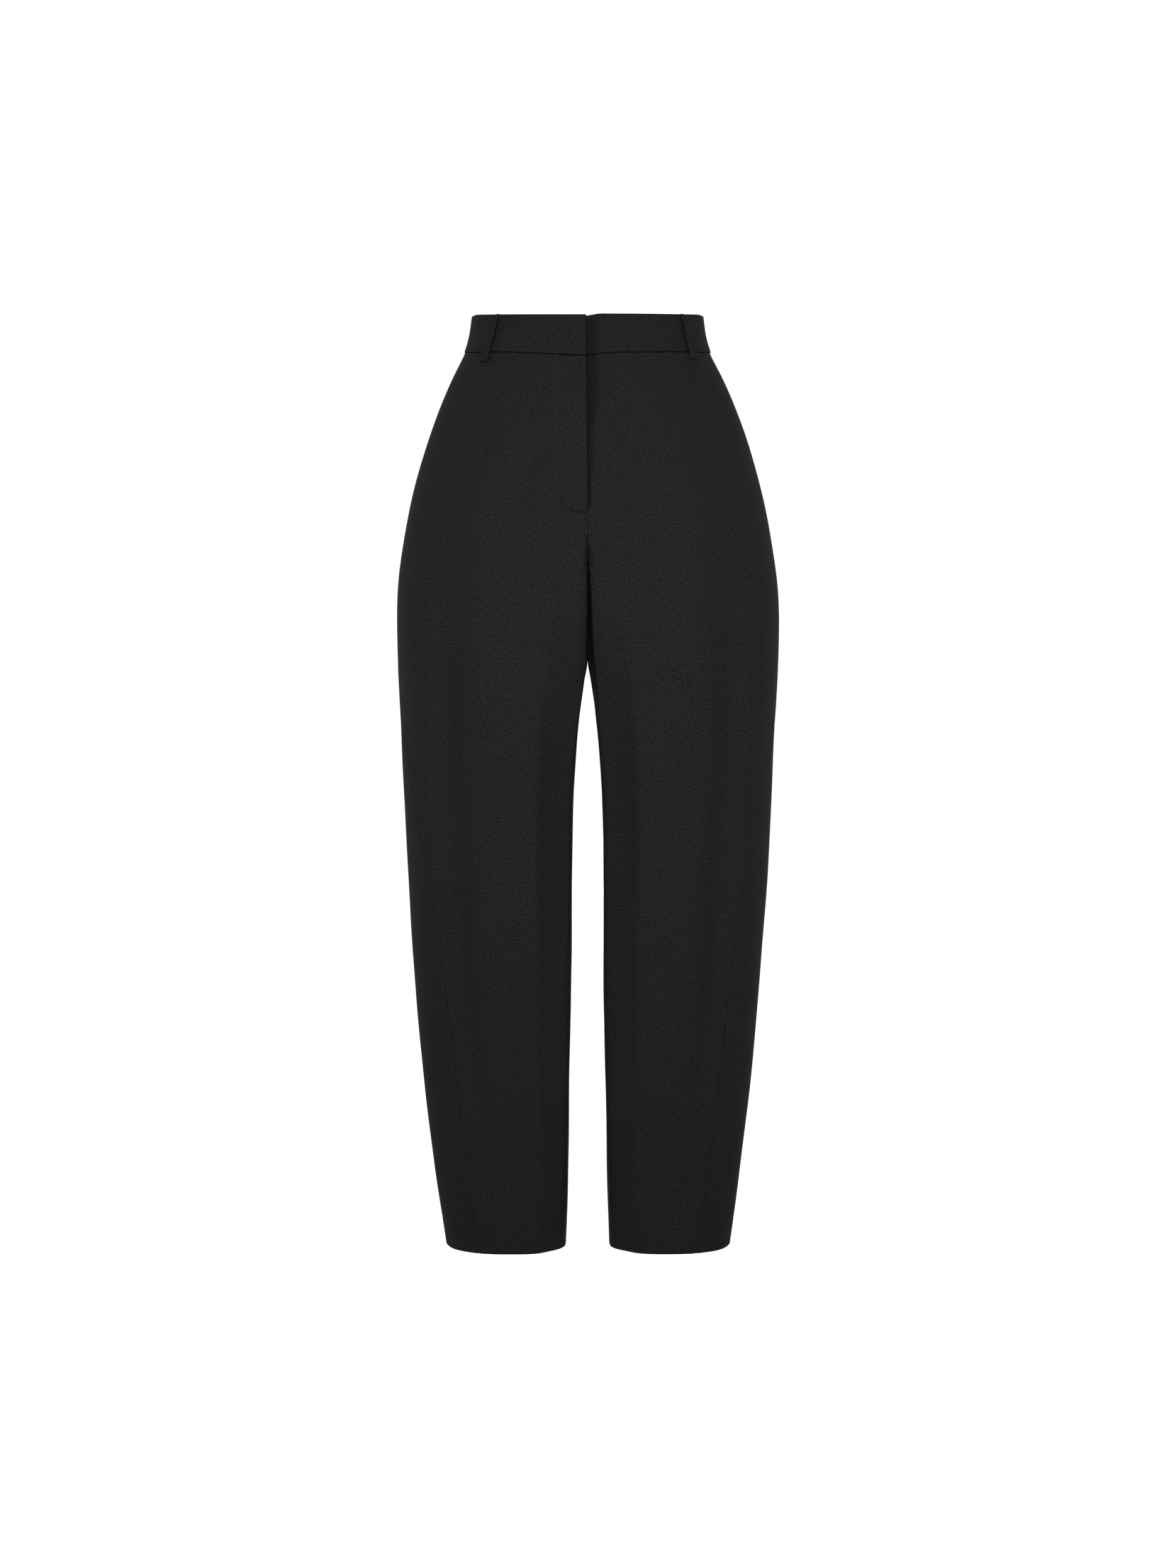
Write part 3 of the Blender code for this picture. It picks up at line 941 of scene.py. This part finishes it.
    def hollow(self, x: Array, z: Array) -> Array:
        """Sinks the cloth beside the centre seam, from below the fly to the crotch.

        The left front falls back steeply under the right one, with a soft slope beside. The right one only slopes.

        Args:
            x, z: places in metres.

        Returns:
            How far the cloth falls back there, in metres.
        """
        width = np.interp(z / MM, *zip(*self.hollow_widths)) * MM
        x = x - self.shell.inseam(z)
        along = ramp(z, *self.hollow_start) * ramp(z, *self.hollow_end) ** self.hollow_end_power
        if self.half is Half.RIGHT:
            return self.hollow_depth * (self.lap_slope * ease(1 - x / self.lap_slope_reach)) * along
        inside = 1 - ease((x - width + self.hollow_wall) / (2 * self.hollow_wall))
        share, extra = self.hollow_slope_reach
        slope = self.hollow_slope * ease(1 - x / (share * width + extra))
        return self.hollow_depth * (inside * ramp(z, *self.hollow_wall_start) + slope) * along

    def parted(self, x: Array, z: Array, sunk: Array) -> Array:
        """Moves the centre edges sideways at the hollow: the right one away from it, the left one under the right.

        Args:
            x, z: places in metres.
            sunk: how far the cloth falls back there, in metres.

        Returns:
            Moves along x on the wearer's left half, in metres.
        """
        near = ease(1 - x / self.parting_reach)
        if self.half is Half.RIGHT:
            return self.parting * near * ramp(z, *self.parting_start) * ramp(z, *self.parting_end)
        deep = ease(sunk / self.tucked_depth - self.tucked_from)
        return -self.tucked * near * deep * ramp(z, *self.tucked_end)

    def dart(self, turn: Array, z: Array) -> Array:
        """Shapes the stitched dart of the back below the waistband.

        Args:
            turn: places round the half.
            z: levels in metres.

        Returns:
            Heights in metres, below 0.
        """
        depth = ease((z - (BAND_SEAM - self.dart_length)) / (self.dart_fade * self.dart_length))
        lean = self.dart_lean * (BAND_SEAM - z) / self.dart_length
        return -self.dart_depth * depth * bump(turn - self.dart_turn + lean, self.dart_width)

    def build(self) -> bpy.types.Object:
        """Returns:
            The panel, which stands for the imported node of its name.
        """
        turn, level, across, width = self.layout()
        plain = self.surface(turn, level)
        heights = self.relief(plain, turn, across, width)
        normals = self.normals(turn, level)
        moved = normals * heights[..., None]
        moved[..., 0] *= ease(plain[..., 0] / self.centre_fade)
        outer = plain + moved
        if self.part is Part.FRONT:
            sunk = self.hollow(plain[..., 0], plain[..., 2]) * ease(-plain[..., 1] / self.hollow_side_fade)
            outer[..., 0] += self.parted(plain[..., 0], plain[..., 2], sunk)
            outer[..., 1] += sunk
        crease = 1.0 if self.part is Part.FRONT else 3.0
        from_crease = np.array([a - np.interp(crease, t, a) for a, t in zip(across, turn)])
        weave = np.stack([from_crease, level], axis=-1)
        piece = ClothGrid(f"cloth_{self.name}", outer, weave, self.half, self.cloth).build()
        band = f"waistband_{self.half.name.lower()}"
        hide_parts(self.name)
        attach(piece, "root")
        return piece


@dataclass
class Waistband:
    """Half of the waistband, from the fly round to the centre back."""

    half: Half
    shell: Shell = field(default_factory=Shell)
    cloth: float = 2.3 * MM
    proud: float = 1.0 * MM
    lift: float = 0.12 * MM
    lap_at_waist: float = 1.7 * MM
    underlap: float = 30 * MM
    tuck_width: float = 14.5 * MM
    tuck: float = 12 * MM
    step: float = 3.6 * MM
    rows: int = 14
    samples: int = 1200
    puff: float = 0.35 * MM
    rounding: float = 0.5 * MM
    wave: Wave = Wave(0.18, 34, 51, 0, 1.2)

    @property
    def name(self) -> str:
        """The node's name."""
        return f"waistband_{self.half.name.lower()}"

    def points(self, turn: Array, share: Array) -> Array:
        """Shapes the outer face, before it stands proud of the panels.

        Args:
            turn: places round the half.
            share: places on the way from the lower edge to the top edge.

        Returns:
            Points on the wearer's left half.
        """
        raised = self.half is Half.LEFT
        lap = self.lap_at_waist if self.half is Half.RIGHT else -self.underlap
        edge = np.where(turn < 2, lap, SEAM_EDGE)
        x, y = self.shell.around(turn, np.full_like(turn, BAND_SEAM / 2), edge)
        bottom = self.shell.seam_level(x, y, raised * (y < 0)) + self.lift
        z = bottom + share * (self.shell.top_level(x, y, raised) - bottom)
        x, y = self.shell.around(turn, z, edge)
        return np.stack([x, y, z], axis=-1)

    def build(self) -> bpy.types.Object:
        """Returns:
            The half band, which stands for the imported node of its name.
        """
        dense = np.linspace(0, 4, self.samples)
        middle = self.points(dense, np.full_like(dense, 0.5))
        run = np.concatenate([[0], np.cumsum(np.linalg.norm(np.diff(middle, axis=0), axis=1))])
        places = np.linspace(0, run[-1], round(run[-1] / self.step) + 1)
        turns = np.interp(places, run, dense)
        turn, share = np.meshgrid(turns, np.linspace(1, 0, self.rows + 1))
        plain = self.points(turn, share)
        facing = unit(np.cross(np.gradient(plain, axis=0), np.gradient(plain, axis=1)))
        full = self.puff * (1 - (2 * share - 1) ** 4)
        w = self.wave
        waves = w.height * MM * np.sin(w.x * plain[..., 0] * self.half.value + w.y * plain[..., 1] + w.phase)
        outer = plain + facing * (self.proud + full + waves * (1 - (2 * share - 1) ** 2))[..., None]
        if self.half is Half.LEFT:
            outer[..., 1] += self.tuck * recess(outer[..., 0], self.tuck_width) * (outer[..., 1] < 0)
        height = float(np.linalg.norm(plain[0] - plain[-1], axis=-1).mean())
        weave = np.stack([np.broadcast_to(places, turn.shape), share * height], axis=-1)
        piece = ClothGrid(f"cloth_{self.name}", outer, weave, self.half, self.cloth, self.rounding).build()
        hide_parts(self.name)
        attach(piece, "root")
        return piece


@dataclass
class BeltLoop:
    """A strap that stands off the waistband, from the waist's top edge to below the waistband seam.

    Knots of stand_off are in thousandths of its length from the top, and in millimetres.
    """

    name: str
    half: Half
    top_turn: float
    seam_turn: float
    shell: Shell = field(default_factory=Shell)
    width: float = 11.5 * MM
    cloth: float = 1.3 * MM
    below_seam: float = 11.0 * MM
    below_top: float = 0.7 * MM
    folded_end: float = 7 * MM
    folded_lift: float = 0.5 * MM
    folded_run: float = 2 * MM
    stand_off: Curve = Curve(
        ((0, 1.4), (100, 3.0), (250, 4.4), (500, 4.8), (720, 4.6), (870, 3.4), (1000, 0.45))
    )
    crown: float = 0.22 * MM
    rounding: float = 0.45 * MM
    probe: float = 0.01
    rows: int = 46
    columns: int = 6
    tack_row: int = -4
    tack_span: tuple[float, float] = (0.12, 0.88)
    tack_stitches: int = 9

    def build(self) -> tuple[bpy.types.Object, Array, Array]:
        """Returns:
            The strap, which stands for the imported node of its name, and points and normals of its tack.
        """
        raised = self.half is Half.LEFT and self.top_turn < 2
        share = np.linspace(0, 1, self.rows + 1)
        turns = self.top_turn + share * (self.seam_turn - self.top_turn)
        edges = np.where(turns < 2, SEAM_EDGE, 0)
        x, y = self.shell.around(turns, np.full_like(turns, BAND_SEAM / 2), edges)
        top = self.shell.top_level(x, y, raised) - self.below_top
        foot = self.shell.seam_level(x, y, raised) - self.below_seam
        z = top + share * (foot - top)
        centre = np.stack([*self.shell.around(turns, z, edges), z], axis=-1)
        beside = np.stack([*self.shell.around(turns - self.probe, z, edges), z], axis=-1)
        across = unit(centre - beside)
        facing = unit(np.cross(np.gradient(centre, axis=0), across))
        end = self.folded_lift * ease((z[-1] + self.folded_end - z) / self.folded_run)
        line = centre + facing * (self.stand_off(share) + self.cloth + end)[:, None]
        sides = np.linspace(-0.5, 0.5, self.columns + 1)
        outer = line[:, None] + across[:, None] * (sides * self.width)[None, :, None]
        crown = self.crown * (1 - (2 * sides) ** 2)
        outer = outer + facing[:, None] * crown[None, :, None]
        run = np.concatenate([[0], np.cumsum(np.linalg.norm(np.diff(line, axis=0), axis=1))])
        weave = np.stack(np.broadcast_arrays(sides[None] * self.width, -run[:, None]), axis=-1)
        piece = ClothGrid(f"cloth_{self.name}", outer, weave, self.half, self.cloth, self.rounding).build()
        self.band
        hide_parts(self.name)
        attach(piece, "root")
        first, last = outer[self.tack_row, 0], outer[self.tack_row, -1]
        tack = first + np.linspace(*self.tack_span, self.tack_stitches)[:, None] * (last - first)
        mirror = np.array([self.half.value, 1, 1])
        return piece, tack * mirror, np.broadcast_to(facing[self.tack_row] * mirror, tack.shape)

    @property
    def band(self) -> str:
        """The half of the waistband that the strap is sewn to."""
        return f"waistband_{self.half.name.lower()}"


@dataclass
class TurnUp:
    """The cloth that is turned up inside a hem and caught there by blind stitches."""

    half: Half
    shell: Shell = field(default_factory=Shell)
    height: float = 30 * MM
    cloth: float = 0.9 * MM
    inset: float = 1.55 * MM
    above_hem: float = 0.8 * MM
    opening: float = 0.01
    columns: int = 110
    rows: int = 8

    def build(self) -> bpy.types.Object:
        """Returns:
            The ring, which is open by a hair at the inseam.
        """
        turn, level = np.meshgrid(
            np.linspace(self.opening, 4 - self.opening, self.columns + 1),
            np.linspace(HEM + self.height, HEM + self.above_hem, self.rows + 1),
        )
        x, y = self.shell.around(turn, level, np.zeros_like(level))
        ring = np.stack([x, y, level - self.shell.hem_dip(x, y, level)], axis=-1)
        facing = unit(np.cross(np.gradient(ring, axis=0), np.gradient(ring, axis=1)))
        outer = ring - facing * self.inset
        run = np.zeros(turn.shape)
        run[:, 1:] = np.cumsum(np.linalg.norm(np.diff(outer, axis=1), axis=-1), axis=1)
        name = f"hem_turn_up_{self.half.name.lower()}"
        piece = ClothGrid(name, outer, np.stack([run, level], axis=-1), self.half, self.cloth).build()
        sides = [f"cloth_front_{self.half.name.lower()}", f"cloth_back_{self.half.name.lower()}"]
        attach(piece, "root")
        return piece


@dataclass
class StitchRow:
    """A row of short raised stitches, each one a small bead of thread half sunk in the cloth."""

    name: str
    length: float = 1.25 * MM
    width: float = 0.5 * MM
    height: float = 0.42 * MM

    def bead(self) -> bpy.types.Object:
        """Models one stitch.

        Returns:
            A rounded bead that tapers to both ends, at the origin.
        """
        deselect()
        bpy.ops.mesh.primitive_uv_sphere_add(segments=8, ring_count=6, radius=0.5)
        piece = bpy.context.object
        bpy.ops.object.mode_set(mode="EDIT")
        bpy.ops.mesh.select_all(action="SELECT")
        bpy.ops.transform.resize(value=(self.width, self.height, self.length))
        bpy.ops.object.mode_set(mode="OBJECT")
        return piece

    def build(self, points: Array, normals: Array, across: bool = False) -> bpy.types.Object:
        """Sets a stitch at each point.

        Args:
            points: the stitches' places on the cloth.
            normals: the cloth's normals there.
            across: whether the stitches lie across the row and not along it.

        Returns:
            One object with all the stitches.
        """
        bead = self.bead()
        runs = unit(np.gradient(points, axis=0))
        copies = []
        for point, normal, run in zip(points, normals, runs):
            out = Vector(normal).normalized()
            side = Vector(run).cross(out).normalized()
            ahead = out.cross(side)
            if across:
                side, ahead = ahead, -side
            turned = Matrix((side, out, ahead)).transposed().to_4x4()
            copy = bead.copy()
            copy.data = bead.data.copy()
            copy.data.transform(Matrix.Translation(Vector(point)) @ turned)
            bpy.context.scene.collection.objects.link(copy)
            copies.append(copy)
        bpy.data.objects.remove(bead)
        deselect()
        for copy in copies:
            copy.select_set(True)
        bpy.context.view_layer.objects.active = copies[0]
        bpy.ops.object.join()
        row = bpy.context.object
        row.name = row.data.name = self.name
        bpy.ops.object.shade_smooth()
        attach(row, "root")
        return row


def seated(target: bpy.types.Object, places: Array, ahead: float = 0.4) -> tuple[Array, Array]:
    """Finds places on the front of a piece, looking at it from the front.

    Args:
        target: the piece.
        places: x and z of each place, in metres.
        ahead: how far in front of the centre plane the view starts, in metres.

    Returns:
        Points on the piece's outer face and its normals there.
    """
    bpy.context.view_layer.update()
    points, normals = [], []
    for x, z in places:
        hit, point, normal, _ = target.ray_cast(Vector((x, -ahead, z)), Vector((0, 1, 0)))
        if hit:
            points.append(tuple(point))
            normals.append(tuple(normal))
    return np.array(points), np.array(normals)


class Signal:
    """A value that varies over a surface. Python arithmetic on it adds the Math nodes."""

    def __init__(self, sheet: "NodeSheet", socket: bpy.types.NodeSocket) -> None:
        """Wraps an output socket of a node sheet."""
        self.sheet = sheet
        self.socket = socket

    def _math(self, operation: str, first: Link, second: Link = 0.0) -> "Signal":
        """Adds a Math node."""
        made = self.sheet.node("ShaderNodeMath", {"operation": operation}, {0: first, 1: second})
        return Signal(self.sheet, made.outputs[0])

    def __add__(self, other: Link) -> "Signal":
        """Sum."""
        return self._math("ADD", self, other)

    def __radd__(self, other: float) -> "Signal":
        """Sum with a number first."""
        return self._math("ADD", other, self)

    def __sub__(self, other: Link) -> "Signal":
        """Difference."""
        return self._math("SUBTRACT", self, other)

    def __rsub__(self, other: float) -> "Signal":
        """Difference from a number."""
        return self._math("SUBTRACT", other, self)

    def __mul__(self, other: Link) -> "Signal":
        """Product."""
        return self._math("MULTIPLY", self, other)

    def __truediv__(self, other: Link) -> "Signal":
        """Quotient."""
        return self._math("DIVIDE", self, other)

    def wave(self) -> "Signal":
        """A wave from 0 to 1, with one period for each whole number."""
        return self._math("SINE", self * (2 * math.pi)) * 0.5 + 0.5

    def over(self, threshold: float, softness: float) -> "Signal":
        """How far the value is over a threshold, from 0 to 1."""
        inputs = {"Value": self, "From Min": threshold, "From Max": threshold + softness}
        return self.sheet.signal("ShaderNodeMapRange", {"clamp": True}, inputs)


class NodeSheet:
    """The node tree of one material."""

    def __init__(self, name: str) -> None:
        """Starts a material that has its shader and output only.

        Args:
            name: the material's name.
        """
        self.material = bpy.data.materials.new(name)
        self.material.use_nodes = True
        self.tree = self.material.node_tree
        self.shader = self.tree.nodes["Principled BSDF"]

    def node(self, kind: str, settings: Settings, inputs: Inputs) -> bpy.types.Node:
        """Adds a node.

        Args:
            kind: the node's type.
            settings: its properties, which are set first.
            inputs: values or links by socket name or number.

        Returns:
            The node.
        """
        made = self.tree.nodes.new(kind)
        for name, value in settings.items():
            setattr(made, name, value)
        for name, value in inputs.items():
            if isinstance(value, Signal):
                self.tree.links.new(value.socket, made.inputs[name])
            elif isinstance(value, bpy.types.NodeSocket):
                self.tree.links.new(value, made.inputs[name])
            else:
                made.inputs[name].default_value = value
        return made

    def signal(self, kind: str, settings: Settings, inputs: Inputs, out: str | int = 0) -> Signal:
        """Adds a node and wraps one of its outputs."""
        return Signal(self, self.node(kind, settings, inputs).outputs[out])

    def noise(
        self, place: bpy.types.NodeSocket, scale: float, detail: float = 2.0, roughness: float = 0.5
    ) -> Signal:
        """Smooth noise around 0.5, with a number of features a metre."""
        inputs = {"Vector": place, "Scale": scale, "Detail": detail, "Roughness": roughness}
        return self.signal("ShaderNodeTexNoise", {"noise_dimensions": "3D"}, inputs, "Fac")

    def mix(self, share: Link, first: object, second: object) -> bpy.types.NodeSocket:
        """Mixes two colours."""
        made = self.node("ShaderNodeMix", {"data_type": "RGBA"}, {0: share, 6: first, 7: second})
        return made.outputs[2]

    def finish(self, constants: dict[str, object], varying: dict[str, object]) -> bpy.types.Material:
        """Sets the shader's own values and links what varies.

        Args:
            constants: values of the shader's sockets.
            varying: signals or sockets for those that vary.

        Returns:
            The material.
        """
        for name, value in constants.items():
            self.shader.inputs[name].default_value = value
        for name, value in varying.items():
            socket = value.socket if isinstance(value, Signal) else value
            self.tree.links.new(socket, self.shader.inputs[name])
        return self.material


@dataclass(frozen=True)
class WoolSuiting:
    """Fine black wool twill: a faint diagonal, a speckle of lighter fibres and a soft fuzz."""

    name: str = "wool_suiting"
    dark: tuple[float, float, float] = (0.0026, 0.0024, 0.0024)
    light: tuple[float, float, float] = (0.0122, 0.0111, 0.0110)
    fleck: tuple[float, float, float] = (0.030, 0.028, 0.028)
    twill_pitch: float = 0.95 * MM
    yarn_pitch: float = 0.62 * MM
    yarn_share: float = 0.35
    wander_scale: float = 260.0
    wander: float = 0.35
    speckle_scale: float = 480.0
    patch_scale: float = 26.0
    tone_shares: tuple[float, float, float] = (2.0, 0.2, 0.1)
    tone_shift: float = 0.68
    fleck_scale: float = 900.0
    fleck_threshold: float = 0.70
    fleck_softness: float = 0.05
    fleck_share: float = 0.8
    relief_shares: tuple[float, float] = (0.6, 0.8)
    relief_strength: float = 0.7
    weave_depth: float = 0.10 * MM
    roughness: float = 0.86
    roughness_swing: float = 0.1
    specular: float = 0.02
    sheen: float = 0.003
    sheen_roughness: float = 0.45

    def material(self) -> bpy.types.Material:
        """Builds the material, which reads the cut's own coordinates in metres.

        Returns:
            The material.
        """
        sheet = NodeSheet(self.name)
        place = sheet.node("ShaderNodeTexCoord", {}, {})
        cut = place.outputs["UV"]
        split = sheet.node("ShaderNodeSeparateXYZ", {}, {"Vector": cut})
        u, v = Signal(sheet, split.outputs[0]), Signal(sheet, split.outputs[1])
        wander = sheet.noise(cut, self.wander_scale, 2.0) * self.wander
        twill = ((u + v) / self.twill_pitch + wander).wave()
        yarn = ((u - v) / self.yarn_pitch + wander).wave()
        weave = twill * (1 - self.yarn_share) + yarn * self.yarn_share
        speckle = sheet.noise(cut, self.speckle_scale, 3.0, 0.6)
        patch = sheet.noise(place.outputs["Object"], self.patch_scale, 3.0)
        by_speckle, by_weave, by_patch = self.tone_shares
        tone = speckle * by_speckle + weave * by_weave + patch * by_patch - self.tone_shift
        ground = sheet.mix(tone.over(0.0, 1.0), (*self.dark, 1), (*self.light, 1))
        fibre = sheet.noise(cut, self.fleck_scale, 1.0)
        flecks = fibre.over(self.fleck_threshold, self.fleck_softness) * self.fleck_share
        colour = sheet.mix(flecks, ground, (*self.fleck, 1))
        height = weave * self.relief_shares[0] + speckle * self.relief_shares[1]
        bumps = {"Strength": self.relief_strength, "Distance": self.weave_depth, "Height": height}
        relief = sheet.node("ShaderNodeBump", {}, bumps)
        constants = {
            "Specular IOR Level": self.specular,
            "Sheen Weight": self.sheen,
            "Sheen Roughness": self.sheen_roughness,
        }
        roughness = self.roughness - speckle * self.roughness_swing
        varying = {"Base Color": colour, "Roughness": roughness, "Normal": relief.outputs[0]}
        return sheet.finish(constants, varying)


@dataclass(frozen=True)
class SewingThread:
    """Black sewing thread, a little lighter and smoother than the cloth."""

    name: str = "sewing_thread"
    colour: tuple[float, float, float] = (0.0145, 0.0138, 0.0149)
    ply_pitch: float = 0.4 * MM
    ply_depth: float = 0.05 * MM
    relief_strength: float = 0.5
    fuzz_scale: float = 1500.0
    dark_share: float = 0.7
    roughness: float = 0.5
    roughness_swing: float = 0.15
    specular: float = 0.15

    def material(self) -> bpy.types.Material:
        """Builds the material, with the thread's twist as fine relief.

        Returns:
            The material.
        """
        sheet = NodeSheet(self.name)
        place = sheet.node("ShaderNodeTexCoord", {}, {}).outputs["Object"]
        split = sheet.node("ShaderNodeSeparateXYZ", {}, {"Vector": place})
        x, z = Signal(sheet, split.outputs[0]), Signal(sheet, split.outputs[2])
        twist = ((x + z) / self.ply_pitch).wave()
        fuzz = sheet.noise(place, self.fuzz_scale)
        darker = tuple(self.dark_share * part for part in self.colour)
        colour = sheet.mix(twist * 0.5 + fuzz * 0.5, (*darker, 1), (*self.colour, 1))
        bumps = {"Strength": self.relief_strength, "Distance": self.ply_depth, "Height": twist}
        relief = sheet.node("ShaderNodeBump", {}, bumps)
        roughness = self.roughness + fuzz * self.roughness_swing
        varying = {"Base Color": colour, "Roughness": roughness, "Normal": relief.outputs[0]}
        return sheet.finish({"Specular IOR Level": self.specular}, varying)


@dataclass(frozen=True)
class PaleFloor:
    """A plain white studio floor."""

    name: str = "studio_floor"
    colour: tuple[float, float, float] = (0.93, 0.93, 0.93)
    dark_share: float = 0.98
    grain_scale: float = 3.0
    roughness: float = 0.9
    glow: float = 0.15

    def material(self) -> bpy.types.Material:
        """Builds the material.

        Returns:
            The material.
        """
        sheet = NodeSheet(self.name)
        place = sheet.node("ShaderNodeTexCoord", {}, {}).outputs["Object"]
        grain = sheet.noise(place, self.grain_scale)
        darker = tuple(self.dark_share * part for part in self.colour)
        colour = sheet.mix(grain, (*darker, 1), (*self.colour, 1))
        lit = {"Roughness": self.roughness, "Emission Color": (1, 1, 1, 1), "Emission Strength": self.glow}
        return sheet.finish(lit, {"Base Color": colour})


class Lamp(NamedTuple):
    """A soft rectangular light: place, target, width and height in metres, power in watts, and colour."""

    name: str
    place: tuple[float, float, float]
    target: tuple[float, float, float]
    size: tuple[float, float]
    power: float
    tint: tuple[float, float, float]


LAMPS = (
    Lamp("front", (0, -2.1, 0.2), (0, 0, -0.29), (1.8, 0.6), 9.2, (0.84, 0.84, 1.0)),
    Lamp("low", (0, -2.1, -0.4), (0, 0, -0.78), (1.8, 0.6), 1.9, (1.0, 0.94, 0.84)),
    Lamp("rim_-1", (-1.7, 1.35, -0.2), (-0.1, 0, -0.4), (0.5, 1.0), 0.5, (1.0, 0.99, 0.99)),
    Lamp("rim_1", (1.7, 1.35, -0.2), (0.1, 0, -0.4), (0.5, 1.0), 0.5, (1.0, 0.99, 0.99)),
)


@dataclass
class Studio:
    """The camera, the soft lights and the floor."""

    sensor: float = 36.0
    sight: float = 60.0
    distance: float = 2.6
    scale: float = 0.775 * MM
    frame_height: int = 2212
    frame_width: int = 1659
    centre_column: float = 829.0
    level: float = -511 * MM
    floor_level: float = HEM - 0.42
    floor_radius: float = 14.0
    surround: float = 1.02
    beam: float = 50.0

    def camera(self) -> None:
        """Sets the camera at the photograph's place: level, straight in front of the garment's middle."""
        data = bpy.data.cameras.new("camera")
        data.sensor_width = self.sensor
        data.lens = self.sensor * self.distance / (self.frame_height * self.scale)
        data.clip_end = self.sight
        made = bpy.data.objects.new("camera", data)
        bpy.context.scene.collection.objects.link(made)
        aside = (self.frame_width / 2 - self.centre_column) * self.scale
        made.location = (aside, -self.distance, self.level)
        made.rotation_euler = (math.pi / 2, 0, 0)
        bpy.context.scene.camera = made

    def lamp(self, lamp: Lamp) -> None:
        """Adds a light with a grid that narrows its beam.

        Args:
            lamp: the light.
        """
        data = bpy.data.lights.new(lamp.name, "AREA")
        data.shape = "RECTANGLE"
        data.size, data.size_y = lamp.size
        data.spread = math.radians(self.beam)
        data.energy = lamp.power
        data.color = lamp.tint
        made = bpy.data.objects.new(lamp.name, data)
        bpy.context.scene.collection.objects.link(made)
        made.location = lamp.place
        made.rotation_euler = (Vector(lamp.target) - Vector(lamp.place)).to_track_quat("-Z", "Y").to_euler()

    def build(self) -> None:
        """Makes the studio."""
        self.camera()
        for lamp in LAMPS:
            self.lamp(lamp)
        world = bpy.data.worlds.new("surround")
        world.use_nodes = True
        light = world.node_tree.nodes["Background"]
        light.inputs["Color"].default_value = (1, 1, 1, 1)
        light.inputs["Strength"].default_value = self.surround
        bpy.context.scene.world = world
        bpy.context.scene.view_settings.view_transform = "Standard"
        deselect()
        disc = {"vertices": 96, "radius": self.floor_radius, "fill_type": "NGON"}
        bpy.ops.mesh.primitive_circle_add(**disc, location=(0, 0, self.floor_level))
        floor = bpy.context.object
        floor.name = "floor"
        bpy.ops.object.transform_apply(location=True)
        floor.data.materials.append(PaleFloor().material())


LOOPS = (
    BeltLoop("belt_loop_front_right", Half.RIGHT, 1.45, 1.43, below_seam=11.4 * MM),
    BeltLoop("belt_loop_front_left", Half.LEFT, 1.50, 1.46, below_seam=9.2 * MM),
    BeltLoop("belt_loop_back_right", Half.RIGHT, 2.62, 2.60),
    BeltLoop("belt_loop_back_left", Half.LEFT, 2.62, 2.60),
    BeltLoop("belt_loop_centre_back", Half.LEFT, 4.0, 4.0),
)


@dataclass
class Trousers:
    """The whole garment, built piece by piece and dressed in its finishes."""

    cloth: WoolSuiting = field(default_factory=WoolSuiting)
    thread: SewingThread = field(default_factory=SewingThread)
    tack_bead: tuple[float, float, float] = (1.5 * MM, 0.42 * MM, 0.34 * MM)

    def dress(self, piece: bpy.types.Object, material: bpy.types.Material) -> None:
        """Gives a piece its finish and reports it.

        Args:
            piece: the object.
            material: its finish.
        """
        piece.data.materials.clear()
        piece.data.materials.append(material)
        log.info("%s: %d faces", piece.name, len(piece.data.polygons))

    def build(self) -> None:
        """Builds all the pieces."""
        wool, thread = self.cloth.material(), self.thread.material()
        for half in Half:
            self.dress(Waistband(half).build(), wool)
        panels = {}
        for part in Part:
            for half in Half:
                panel = Panel(part, half)
                panels[panel.name] = panel.build()
                self.dress(panels[panel.name], wool)
        for half in Half:
            self.dress(TurnUp(half).build(), wool)
        for loop in LOOPS:
            strap, points, normals = loop.build()
            self.dress(strap, wool)
            tack = StitchRow(loop.name.replace("belt_loop", "tack"), *self.tack_bead)
            self.dress(tack.build(points, normals, across=True), thread)
        fly = FlyStitch()
        places = fly.line(fly.pitch) * np.array([-1, 1])
        points, normals = seated(panels["front_right"], places)
        self.dress(StitchRow("fly_stitches").build(points, normals), thread)


def main() -> None:
    """Builds the studio and the garment."""
    logging.basicConfig(level=logging.INFO, format="%(name)s %(message)s")
    Studio().build()
    Trousers().build()


if __name__ == "__main__":
    main()
